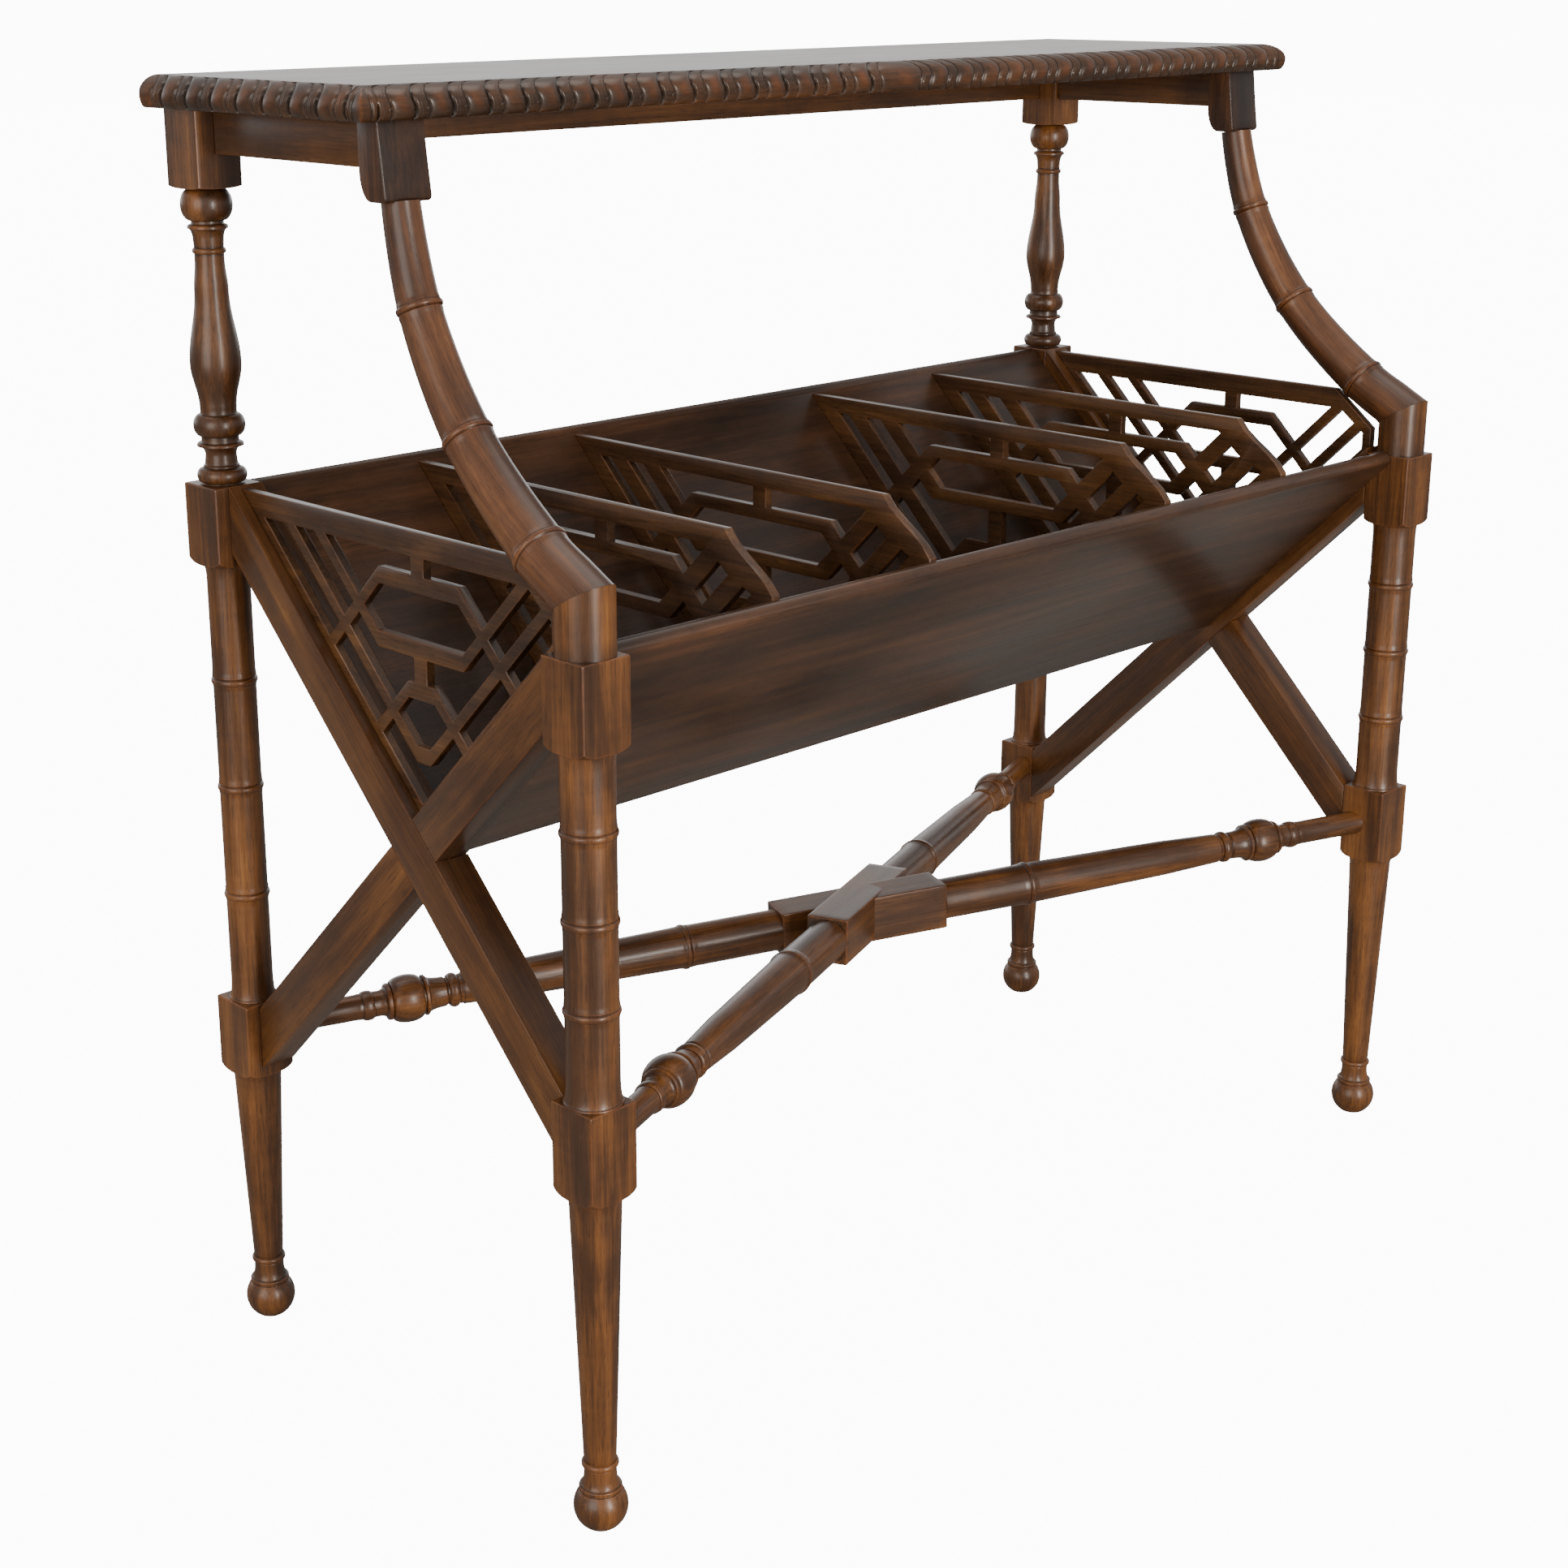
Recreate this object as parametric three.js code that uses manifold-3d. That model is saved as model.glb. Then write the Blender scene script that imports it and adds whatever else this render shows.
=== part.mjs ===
// Book trough: a narrow table on turned bamboo legs, with a V-shaped trough between two X-frames.
// Millimetres, +X along the length, +Y to the rear, +Z up, floor at zero.
import * as THREE from 'three';
import { mergeVertices } from 'three/addons/utils/BufferGeometryUtils.js';
import Module from 'manifold-3d';

const wasm = await Module();
wasm.setup();

// Driving dimensions of the whole piece
const overallHeight = 910;
const postSpacingLength = 887.4;
const postSpacingDepth = 376.6;
const blockWidth = 38;
const fitGap = 0.3;
const cutOverrun = 2;
const turningSides = 12;
const blockTurningSides = 16;

// Table top with its carved gadroon edge
const topThickness = 21;
const topEndOverhang = 14.3;
const topFrontOverhang = 15;
const topRearOverhang = 1.7;
const gadroonWidth = 14;
const gadroonPitch = 29.3;
const gadroonLobeShare = 0.66;
const gadroonHollow = 1.8;
const gadroonCornerShare = 1.15;

// Rails under the top
const railDepth = 29.5;
const railThickness = 18;
const railSetback = 15.5;
const railTenonLength = 10;
const railTenonShare = 0.55;

// Feet and tapered lower legs
const footHeight = 50;
const footBallRadius = 18.1;
const footFlatRadius = 10;
const footBallRise = 39.5;
const legTopRadius = 16.8;

// Square blocks on the posts: where each starts and how tall it is
const frontLowerBlockBottom = 238.5;
const frontLowerBlockHeight = 63.5;
const frontMiddleBlockBottom = 530.5;
const frontMiddleBlockHeight = 58.5;
const rearLowerBlockBottom = 201;
const rearLowerBlockHeight = 57;
const rearMiddleBlockBottom = 581.5;
const rearMiddleBlockHeight = 56.5;
const rearTopBlockHeight = 52.5;
const rearTopBlockWidth = 34.5;
const blockOvolo = 7;
const topBlockOvolo = 2;

// Bamboo turned shafts
const frontShaftRadius = 17.3;
const rearShaftRadius = 15.2;
const frontNodeShares = [0.269, 0.525, 0.775];
const rearNodeShares = [0.249, 0.499, 0.742];
const nodeBulge = 1.4;
const nodeHalfHeight = 3.2;
const shaftFlare = 1.7;
const shaftFlareLength = 16;
const shaftCoveLength = 10;

// Baluster of the rear posts
const balusterRadius = 17.6;

// Curved arms that carry the front of the top
const armTopRadius = 12.2;
const elbowRadius = 18.8;
const elbowHeight = 623;
const armHeadWidth = 36;
const armHeadDepth = 19.8;
const armHeadHeight = 49;
const armHeadFront = 18.3;
const armHeadLean = 6;
const armHeadInset = 7.2;
const armNodeBulge = 1.4;
const armNodeShares = [0.242, 0.537, 0.846];
const armElbowShare = 0.868;
const armSections = 16;
const elbowDowelRadius = 5;
const elbowDowelLength = 34;

// X-frames: square bars at 45 degrees, half-lapped where they cross
const barWidth = 33;
const barThickness = 27.2;
const barInset = 10.7;
const rearRisingBarHeight = 446.2;
const frontRisingBarHeight = 400.9;
const barTenonLength = 8;
const barTenonThickness = 8;
const barTenonHeight = 26;

// Trough boards
const boardThickness = 12.5;
const boardInset = 10.25;
const frontBoardTop = 594.5;
const rearBoardTop = 640;
const frontBoardLap = 24;
const boardDowelRadius = 3.4;
const boardDowelLength = 17;
const boardDowelShares = [0.2, 0.8];

// Fretwork of the end panels and the dividers
const panelThickness = 7;
const panelSetback = 9.5;
const panelTongue = 4;
const panelTop = 636;
const panelFrontGap = 4.5;
const panelChamferWidth = 36;
const panelChamferDrop = 29;
const dividerThickness = 7;
const dividerTongue = 3;
const dividerTop = 632;
const dividerPlaces = [131, 281];
const dividerShoulderShare = 0.733;
const dividerOgeeWidth = 7.5;
const dividerOgeeHeight = 14;
const dividerWindowFront = [[101, 173], [121, 156.5], [143.5, 146.5]];
const dividerRimWidth = 12.4;
const fretTopRailBottom = 173;
const fretEdgeWidth = 6;
const fretRimWidth = 8.5;
const fretPostWidth = 13;
const panelFret = {
  levelWidth: 11.4, slopeWidth: 8.2, shift: 3,
  upper: { sum: 196.4, difference: 68.5, levels: [112.4, 155.3] },
  lower: { sum: 98, difference: 35, levels: [41.8, 84.5] },
};
const dividerFret = {
  levelWidth: 9.5, slopeWidth: 13, shift: 0,
  upper: { sum: 220, difference: 59.5, levels: [121, 154.5] },
  lower: { sum: 110, difference: 24, levels: [38, 84.5] },
};

// Turned cross stretchers, half-lapped at their square centres
const stretcherBlockWidth = 33;
const stretcherBlockDepth = 38;
const stretcherBlockLength = 122;
const stretcherBallRadius = 17.4;
const stretcherTenonRadius = 5;
const stretcherTenonLength = 10;
const stretcherFrontShare = 0.5;
const stretcherRearShare = 0.553;

const degree = Math.PI / 180;
const slope = Math.SQRT1_2;

// Levels and faces that follow from the driving dimensions
const railTop = overallHeight - topThickness;
const postX = postSpacingLength / 2;
const postY = postSpacingDepth / 2;
const blockHalf = blockWidth / 2;
const blockInnerY = postY - blockHalf;
const barOuterX = postX + blockHalf - barInset;
const barInnerX = barOuterX - barThickness;
const barMiddleX = (barOuterX + barInnerX) / 2;
const barHalfRise = barWidth / 2 / slope;
const rearSlopeLine = rearRisingBarHeight + barHalfRise;
const frontSlopeLine = frontRisingBarHeight + barHalfRise;
const troughY = (frontSlopeLine - rearSlopeLine) / 2;
const troughZ = (frontSlopeLine + rearSlopeLine) / 2;
const stretcherFrontHeight = frontLowerBlockBottom + frontLowerBlockHeight * stretcherFrontShare;
const stretcherRearHeight = rearLowerBlockBottom + rearLowerBlockHeight * stretcherRearShare;
const topLength = postSpacingLength + blockWidth + 2 * topEndOverhang;
const topFrontReach = armHeadFront + topFrontOverhang;
const topRearReach = postY + blockHalf + topRearOverhang;
const topBlockHalf = rearTopBlockWidth / 2;

// A closed geometry as a solid that can be joined and cut
function solidOf(geometry) {
  const bare = geometry.index ? geometry.clone() : mergeVertices(geometry);
  bare.deleteAttribute('normal');
  bare.deleteAttribute('uv');
  const welded = mergeVertices(bare, 1e-4);
  const position = welded.attributes.position;
  const corners = [];
  let volume = 0;
  const [a, b, c] = [new THREE.Vector3(), new THREE.Vector3(), new THREE.Vector3()];
  for (let i = 0; i < welded.index.count; i += 3) {
    const [p, q, r] = [0, 1, 2].map((k) => welded.index.getX(i + k));
    if (p === q || q === r || r === p) continue;
    corners.push(p, q, r);
    a.fromBufferAttribute(position, p);
    b.fromBufferAttribute(position, q);
    c.fromBufferAttribute(position, r);
    volume += a.dot(b.cross(c));
  }
  const triVerts = new Uint32Array(volume > 0 ? corners : corners.reverse());
  return new wasm.Manifold(new wasm.Mesh({ numProp: 3, vertProperties: new Float32Array(position.array), triVerts }));
}

function geometryOf(solid) {
  const mesh = solid.getMesh();
  const geometry = new THREE.BufferGeometry();
  geometry.setAttribute('position', new THREE.BufferAttribute(new Float32Array(mesh.vertProperties), 3));
  geometry.setIndex(new THREE.BufferAttribute(new Uint32Array(mesh.triVerts), 1));
  return geometry;
}

const join = (solids) => solids.reduce((whole, piece) => whole.add(piece));
const cut = (solid, tools) => tools.reduce((whole, tool) => whole.subtract(tool), solid);
const point = (x, y) => new THREE.Vector2(x, y);

// A box between two corners
function boxSolid([x0, y0, z0], [x1, y1, z1]) {
  const box = new THREE.BoxGeometry(x1 - x0, y1 - y0, z1 - z0);
  return solidOf(box.translate((x0 + x1) / 2, (y0 + y1) / 2, (z0 + z1) / 2));
}

// A turned solid about +Z from [radius, height] points
function turned(profile, sides = turningSides) {
  return solidOf(new THREE.LatheGeometry(profile, sides).rotateX(90 * degree));
}

// An outline in (Y, Z) carried along X between two planes
function plate(outline, x0, x1) {
  const [low, high] = x0 < x1 ? [x0, x1] : [x1, x0];
  const extruded = new THREE.ExtrudeGeometry(new THREE.Shape(outline), { depth: high - low, bevelEnabled: false });
  const turn = new THREE.Matrix4().makeBasis(
    new THREE.Vector3(0, 1, 0), new THREE.Vector3(0, 0, 1), new THREE.Vector3(1, 0, 0));
  return solidOf(extruded.applyMatrix4(turn).translate(low, 0, 0));
}

// A round peg from one point towards another
function peg(from, direction, length, radius, sides = 12) {
  const cylinder = new THREE.CylinderGeometry(radius, radius, length, sides).translate(0, length / 2, 0);
  const turn = new THREE.Quaternion().setFromUnitVectors(new THREE.Vector3(0, 1, 0), direction);
  return solidOf(cylinder.applyQuaternion(turn).translate(from.x, from.y, from.z));
}

// Half-ellipse moulding on a turning, from its base radius out to its crest and back
function bead(middle, halfHeight, baseRadius, crestRadius, steps = 4) {
  return Array.from({ length: steps }, (_, i) => {
    const angle = (i / (steps - 1) - 0.5) * 180 * degree;
    return point(baseRadius + (crestRadius - baseRadius) * Math.cos(angle), middle + halfHeight * Math.sin(angle));
  });
}

// Ball foot, flared collar and ring, and the tapered leg up to the lower block
function footProfile(blockBottom) {
  const radius = footBallRadius;
  const at = (heightShare, radiusShare) => point(radius * radiusShare, footHeight * heightShare);
  const ballSteps = 7;
  const start = Math.acos(footFlatRadius / radius);
  const middle = radius * Math.sin(start);
  const ball = Array.from({ length: ballSteps }, (_, i) => {
    const angle = -start + (start + footBallRise * degree) * (i / (ballSteps - 1));
    return point(radius * Math.cos(angle), middle + radius * Math.sin(angle));
  });
  return [
    point(0, 0), ...ball,
    at(0.545, 0.755), at(0.59, 0.79), at(0.64, 0.713), at(0.7, 0.646), at(0.81, 0.597), at(0.876, 0.597),
    ...bead(footHeight * 0.924, footHeight * 0.048, radius * 0.597, radius * 0.685, 3),
    at(1, 0.6),
    point(legTopRadius, blockBottom - shaftCoveLength),
    point(legTopRadius + shaftFlare, blockBottom),
  ];
}

// Straight shaft between two blocks, flared at both ends, with bamboo nodes at shares of its length
function bambooProfile(bottom, top, radius, nodeShares) {
  const nodes = nodeShares.flatMap((share) => bead(
    bottom + (top - bottom) * share, nodeHalfHeight, radius, radius + nodeBulge, 3));
  return [point(radius + shaftFlare, bottom), point(radius, bottom + shaftFlareLength), ...nodes,
    point(radius, top - shaftCoveLength), point(radius + shaftFlare, top)];
}

// Baluster of the rear posts, in shares of its length and its largest radius
function balusterProfile(bottom, top) {
  const length = top - bottom;
  const at = (heightShare, radiusShare) => point(balusterRadius * radiusShare, bottom + length * heightShare);
  const torus = (heightShare, halfShare, baseShare, crestShare) => bead(
    bottom + length * heightShare, length * halfShare, balusterRadius * baseShare, balusterRadius * crestShare);
  return [
    at(0, 0.78), ...torus(0.026, 0.024, 0.78, 0.966),
    at(0.076, 0.63), at(0.1, 0.6), at(0.13, 0.9), at(0.142, 0.74),
    ...torus(0.202, 0.036, 0.72, 1),
    at(0.257, 0.7), at(0.3, 0.79), at(0.355, 0.94), at(0.415, 0.983), at(0.47, 0.95), at(0.55, 0.83),
    at(0.66, 0.66), at(0.784, 0.565),
    at(0.793, 0.63), at(0.803, 0.565), at(0.87, 0.778), at(0.88, 0.64),
    ...torus(0.945, 0.05, 0.62, 0.989),
  ];
}

// Square block whose lower corners are turned away to meet the shaft
function block(bottom, height, shoulderRadius, ovolo = blockOvolo, half = blockHalf) {
  const cornerRadius = blockHalf * Math.SQRT2 + cutOverrun;
  const steps = 3;
  const shoulder = Array.from({ length: steps + 1 }, (_, i) => {
    const angle = 90 * degree * i / steps;
    return point(shoulderRadius + (cornerRadius - shoulderRadius) * Math.sin(angle),
      bottom + ovolo * (1 - Math.cos(angle)));
  });
  const round = turned([point(0, bottom), ...shoulder,
    point(cornerRadius, bottom + height), point(0, bottom + height)], blockTurningSides);
  return round.intersect(boxSolid([-half, -blockHalf, bottom], [half, blockHalf, bottom + height]));
}

// Centre line of an arm in the (Y, Z) plane, from under its head down to the elbow
const armHeadBottom = railTop - armHeadHeight;
const armDrop = armHeadBottom - elbowHeight;
const armStartY = -(armHeadFront + armHeadLean - armHeadDepth * 0.42);
const armReach = postY + armStartY;
const armShares = [[0, 0], [0.102, 0.29], [0.372, 0.627], [0.771, 0.899], [1, 1]];
const armPlaces = armShares.map(([reachShare, dropShare]) => new THREE.Vector3(
  0, armStartY - armReach * reachShare, armHeadBottom - armDrop * dropShare));
const armCurve = new THREE.CatmullRomCurve3([
  armPlaces[0].clone().add(new THREE.Vector3(0, 0, cutOverrun)), ...armPlaces,
  armPlaces.at(-1).clone().add(armPlaces.at(-1).clone().sub(armPlaces.at(-2))),
], false, 'centripetal');
const elbow = new THREE.Vector3(0, -postY, elbowHeight);
const armEndDirection = armPlaces.at(-2).clone().sub(elbow).normalize();
const mitreNormal = new THREE.Vector3(0, 0, 1).add(armEndDirection).normalize();

// Half-space on one side of the elbow's mitre plane, as a large block
function mitreTool(side) {
  const size = 4 * blockWidth;
  const tool = new THREE.BoxGeometry(size, size, size).translate(0, 0, side * (size / 2 - fitGap / 2));
  const turn = new THREE.Quaternion().setFromUnitVectors(new THREE.Vector3(0, 0, 1), mitreNormal);
  return solidOf(tool.applyQuaternion(turn).translate(elbow.x, elbow.y, elbow.z));
}

function elbowDowelSolid(grow) {
  const half = elbowDowelLength / 2 + grow;
  const start = elbow.clone().addScaledVector(mitreNormal, -half);
  return peg(start, mitreNormal, 2 * half, elbowDowelRadius + grow);
}

// Round section carried along the arm's curve, swelling at its three nodes and leaning in to the head
function armShaft(sideX, grow = 0) {
  const frames = [];
  const nodePlaces = armNodeShares.map((share) => share * armElbowShare);
  const shares = new Set();
  for (let i = 0; i <= armSections; i += 1) shares.add(i / armSections);
  const length = armCurve.getLength();
  const halfShare = nodeHalfHeight / length;
  for (const place of nodePlaces) {
    for (const step of [-1.5, -0.5, 0.5, 1.5]) shares.add(place + step * halfShare);
  }
  const ordered = [...shares].sort((a, b) => a - b);
  const sections = ordered.filter((share, i) => i === 0 || share - ordered[i - 1] > halfShare / 2);
  for (const share of sections) {
    const centre = armCurve.getPointAt(share);
    const along = armCurve.getTangentAt(share);
    const up = new THREE.Vector3(0, along.z, -along.y);
    const swell = Math.max(...nodePlaces.map((place) => Math.exp(-(((share - place) / halfShare) ** 2))));
    const growth = Math.min(share / armElbowShare, 1);
    const radius = armTopRadius + (elbowRadius - armTopRadius) * growth + armNodeBulge * swell + grow;
    centre.x = -sideX * armHeadInset * (1 - growth);
    frames.push({ centre, up, radius });
  }
  const sides = turningSides;
  const vertices = [];
  frames.forEach(({ centre, up, radius }) => {
    for (let k = 0; k < sides; k += 1) {
      const angle = 2 * Math.PI * k / sides;
      vertices.push(centre.x + radius * Math.cos(angle), centre.y + up.y * radius * Math.sin(angle),
        centre.z + up.z * radius * Math.sin(angle));
    }
  });
  const ends = [frames[0].centre, frames.at(-1).centre];
  ends.forEach((end) => vertices.push(end.x, end.y, end.z));
  const first = frames.length * sides;
  const faces = [];
  for (let k = 0; k < sides; k += 1) {
    const next = (k + 1) % sides;
    for (let i = 0; i < frames.length - 1; i += 1) {
      const [a, b] = [i * sides + k, i * sides + next];
      faces.push(a, b, a + sides, b, b + sides, a + sides);
    }
    const last = (frames.length - 1) * sides;
    faces.push(next, k, first, last + k, last + next, first + 1);
  }
  const shaft = new THREE.BufferGeometry();
  shaft.setAttribute('position', new THREE.Float32BufferAttribute(vertices, 3));
  shaft.setIndex(faces);
  return solidOf(shaft);
}

// Outline of the arm's square head: it leans forward, with its lower rear corner slanted away
function armHeadOutline() {
  const front = -armHeadFront;
  const rear = front + armHeadDepth;
  const round = armHeadLean / 2;
  const outline = new THREE.Shape();
  outline.moveTo(front, railTop);
  outline.lineTo(front - armHeadLean, armHeadBottom + round);
  outline.quadraticCurveTo(front - armHeadLean, armHeadBottom, front - armHeadLean + round, armHeadBottom);
  outline.lineTo(rear - armHeadDepth * 0.53, armHeadBottom);
  outline.quadraticCurveTo(
    rear - armHeadDepth * 0.3, armHeadBottom + armHeadHeight * 0.22, rear, railTop - railDepth);
  outline.lineTo(rear, railTop);
  return outline.getPoints(4);
}

// Rails: a board with a tenon at each end that enters the blocks
function railTenonSize() {
  return { thickness: railThickness * railTenonShare, height: railDepth * railTenonShare };
}

function endRail(side, grow) {
  const middle = side * (postX + blockHalf - railSetback - railThickness / 2);
  const half = railThickness / 2;
  const tenon = railTenonSize();
  const front = -armHeadFront + armHeadDepth;
  const low = railTop - railDepth;
  const z = low + (railDepth - tenon.height) / 2;
  const body = boxSolid([middle - half, front + fitGap, low], [middle + half, blockInnerY - fitGap, railTop]);
  const tongue = boxSolid(
    [middle - tenon.thickness / 2 - grow, front - railTenonLength - grow, z - grow],
    [middle + tenon.thickness / 2 + grow, blockInnerY + railTenonLength + grow, z + tenon.height + grow]);
  return { whole: body.add(tongue), tongue };
}

function rearRail(grow) {
  const outer = postY + blockHalf - fitGap - cutOverrun;
  const inner = outer - railThickness;
  const middle = (outer + inner) / 2;
  const tenon = railTenonSize();
  const low = railTop - railDepth;
  const z = low + (railDepth - tenon.height) / 2;
  const end = postX - topBlockHalf;
  const body = boxSolid([-end + fitGap, inner, low], [end - fitGap, outer, railTop]);
  const tongue = boxSolid(
    [-end - railTenonLength - grow, middle - tenon.thickness / 2 - grow, z - grow],
    [end + railTenonLength + grow, middle + tenon.thickness / 2 + grow, z + tenon.height + grow]);
  return { whole: body.add(tongue), tongue };
}

// Bars of the X-frames. rising is +1 for the bar that rises to the rear, -1 for the other.
function barOutline(rising, grow = 0) {
  const middle = rising > 0 ? rearRisingBarHeight : frontRisingBarHeight;
  const rise = barHalfRise + grow / slope;
  const end = blockInnerY - fitGap + 2 * grow;
  return [point(-end, middle - rising * end - rise), point(end, middle + rising * end - rise),
    point(end, middle + rising * end + rise), point(-end, middle - rising * end + rise)];
}

function barTenons(side, rising, grow) {
  const middle = rising > 0 ? rearRisingBarHeight : frontRisingBarHeight;
  const x = side * barMiddleX;
  return [-1, 1].map((end) => {
    const face = end * blockInnerY;
    const tip = end * (blockInnerY + barTenonLength + grow);
    const z = middle + rising * face;
    const back = end * (blockInnerY - 2 * cutOverrun);
    return boxSolid(
      [x - barTenonThickness / 2 - grow, Math.min(back, tip), z - barTenonHeight / 2 - grow],
      [x + barTenonThickness / 2 + grow, Math.max(back, tip), z + barTenonHeight / 2 + grow]);
  });
}

function bar(side, rising) {
  const solid = join([plate(barOutline(rising), side * barInnerX, side * barOuterX), ...barTenons(side, rising, 0)]);
  const [from, to] = rising > 0
    ? [barInnerX - cutOverrun, barMiddleX + fitGap / 2]
    : [barMiddleX - fitGap / 2, barOuterX + cutOverrun];
  const lap = plate(barOutline(-rising, fitGap), side * from, side * to);
  return cut(solid, [lap, endPanelBody(side, fitGap), ...boardDowelSolids(side, fitGap)]);
}

// Trough boards, each an outline in (Y, Z) along the length
const frontInnerLine = frontSlopeLine - boardInset / slope;
const rearInnerLine = rearSlopeLine - boardInset / slope;
const frontBoardLine = frontInnerLine - boardThickness / slope;
const rearBoardLine = rearInnerLine - boardThickness / slope;
const boardEnd = Math.min(barInnerX, postX - blockHalf) - fitGap;

function roundedBoard(bottomInner, bottomOuter, topInner, topOuter) {
  const shape = new THREE.Shape();
  const round = 0.5;
  const innerStart = bottomInner.clone().lerp(topInner, 1 - boardThickness * round / bottomInner.distanceTo(topInner));
  const outerStart = bottomOuter.clone().lerp(topOuter, 1 - boardThickness * round / bottomOuter.distanceTo(topOuter));
  const crest = topInner.clone().lerp(topOuter, round);
  shape.moveTo(bottomInner.x, bottomInner.y);
  shape.lineTo(bottomOuter.x, bottomOuter.y);
  shape.lineTo(outerStart.x, outerStart.y);
  shape.quadraticCurveTo(topOuter.x, topOuter.y, crest.x, crest.y);
  shape.quadraticCurveTo(topInner.x, topInner.y, innerStart.x, innerStart.y);
  return shape.getPoints(4);
}

// A point where the line Z + Y = sum meets the line Z - Y = difference
const meet = (sum, difference) => point((sum - difference) / 2, (sum + difference) / 2);

function frontBoardOutline() {
  const top = 2 * frontBoardTop - frontInnerLine;
  const bottom = rearSlopeLine - frontBoardLap / slope;
  return roundedBoard(meet(frontInnerLine, bottom), meet(frontBoardLine, bottom),
    meet(frontInnerLine, top), meet(frontBoardLine, top));
}

function rearBoardOutline() {
  const top = 2 * rearBoardTop - rearInnerLine;
  const bottom = frontInnerLine + fitGap / slope;
  return roundedBoard(meet(bottom, rearInnerLine), meet(bottom, rearBoardLine),
    meet(top, rearInnerLine), meet(top, rearBoardLine));
}

// Dowels that pin the board ends to the bars
function boardDowelPlaces(which) {
  const half = boardThickness / 2 / slope;
  return boardDowelShares.map((share) => {
    const rise = (which === 'front' ? frontBoardTop : blockInnerY + rearSlopeLine) - troughZ;
    const along = 2 * rise * share;
    return which === 'front'
      ? meet(frontInnerLine - half, rearInnerLine + along)
      : meet(frontInnerLine + along, rearInnerLine - half);
  });
}

function boardDowel(side, place, grow) {
  const start = new THREE.Vector3(side * (barInnerX - boardDowelLength / 2 - grow), place.x, place.y);
  return peg(start, new THREE.Vector3(side, 0, 0), boardDowelLength + 2 * grow, boardDowelRadius + grow, 8);
}

const boardDowelSolids = (side, grow) => ['front', 'rear'].flatMap(
  (which) => boardDowelPlaces(which).map((place) => boardDowel(side, place, grow)));

function troughBoard(outline) {
  const housings = dividerPlaces.flatMap((x) => [-1, 1].map((side) => dividerBody(side * x, fitGap)));
  const holes = [-1, 1].flatMap((side) => boardDowelSolids(side, fitGap));
  return cut(plate(outline, -boardEnd, boardEnd), [...housings, ...holes]);
}

// Fretwork is drawn from the foot of the V: across is the distance from its middle, up the height above it.
// Strips run level, along across + up = sum, or along up - across = difference.
const fretPoint = (hand, across, up) => point(troughY + hand * across, troughZ + up);
const onLines = (sum, difference) => [(sum - difference) / 2, (sum + difference) / 2];

function strip(corners, hand, x0, x1) {
  return plate(corners.map(([across, up]) => fretPoint(hand, across, up)), x0, x1);
}

function hexagonOutline({ sum, difference, levels: [low, high] }, slopeGrow, levelGrow) {
  const [tipAcross, tipUp] = onLines(sum + slopeGrow / slope, difference - slopeGrow / slope);
  const top = high + levelGrow;
  const bottom = low - levelGrow;
  const topAcross = sum + slopeGrow / slope - top;
  const bottomAcross = bottom - difference + slopeGrow / slope;
  return [[topAcross, top], [tipAcross, tipUp], [bottomAcross, bottom],
    [-bottomAcross, bottom], [-tipAcross, tipUp], [-topAcross, top]];
}

// The fret pattern: two hexagons on one post, with sloping strips that run on from their sides
function fretPattern({ levelWidth, slopeWidth, shift, upper, lower }, x0, x1, top) {
  const half = slopeWidth / 2 / slope;
  const levelHalf = levelWidth / 2;
  const hexagons = [upper, lower].map((hexagon) => strip(hexagonOutline(hexagon, slopeWidth / 2, levelHalf), 1, x0, x1)
    .subtract(strip(hexagonOutline(hexagon, -slopeWidth / 2, -levelHalf), 1, x0 - cutOverrun, x1 + cutOverrun)));
  const postHalf = fretPostWidth / 2;
  const posts = [[upper.levels[1], fretTopRailBottom], [lower.levels[1], upper.levels[0]]]
    .map(([low, high]) => strip([[-postHalf, low], [postHalf, low], [postHalf, high + cutOverrun],
      [-postHalf, high + cutOverrun]], 1, x0, x1));
  const topRail = strip([[-2 * postY, fretTopRailBottom], [2 * postY, fretTopRailBottom],
    [2 * postY, top], [-2 * postY, top]], 1, x0, x1);
  const slopes = [-1, 1].flatMap((hand) => [upper, lower].flatMap(({ sum, difference }) => [
    strip([onLines(sum - half, difference), onLines(sum + half, difference),
      onLines(sum + half, -2 * blockWidth), onLines(sum - half, -2 * blockWidth)], hand, x0, x1),
    strip([onLines(sum, difference - half), onLines(sum, difference + half),
      onLines(2 * top, difference + half), onLines(2 * top, difference - half)], hand, x0, x1),
  ]));
  return join([...hexagons, ...posts, topRail, ...slopes]).translate([0, -shift, 0]);
}

// Outlines with straight sides down the V, let into the bars or boards by a tongue
function panelOutline(tongue, inset = 0) {
  const drop = tongue / slope;
  const top = panelTop - troughZ - inset;
  const rear = Math.min(top + drop, blockInnerY - fitGap - troughY);
  const front = blockInnerY + troughY - panelFrontGap - inset;
  const shoulder = front - panelChamferWidth + inset * (Math.SQRT2 - 1);
  const chamferTop = top;
  const chamferBottom = top - panelChamferDrop + inset * (Math.SQRT2 - 1);
  return [fretPoint(1, 0, -drop), fretPoint(1, rear, rear - drop), fretPoint(1, rear, top),
    fretPoint(-1, shoulder, chamferTop), fretPoint(-1, front, chamferBottom), fretPoint(-1, front, front - drop)];
}

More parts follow.
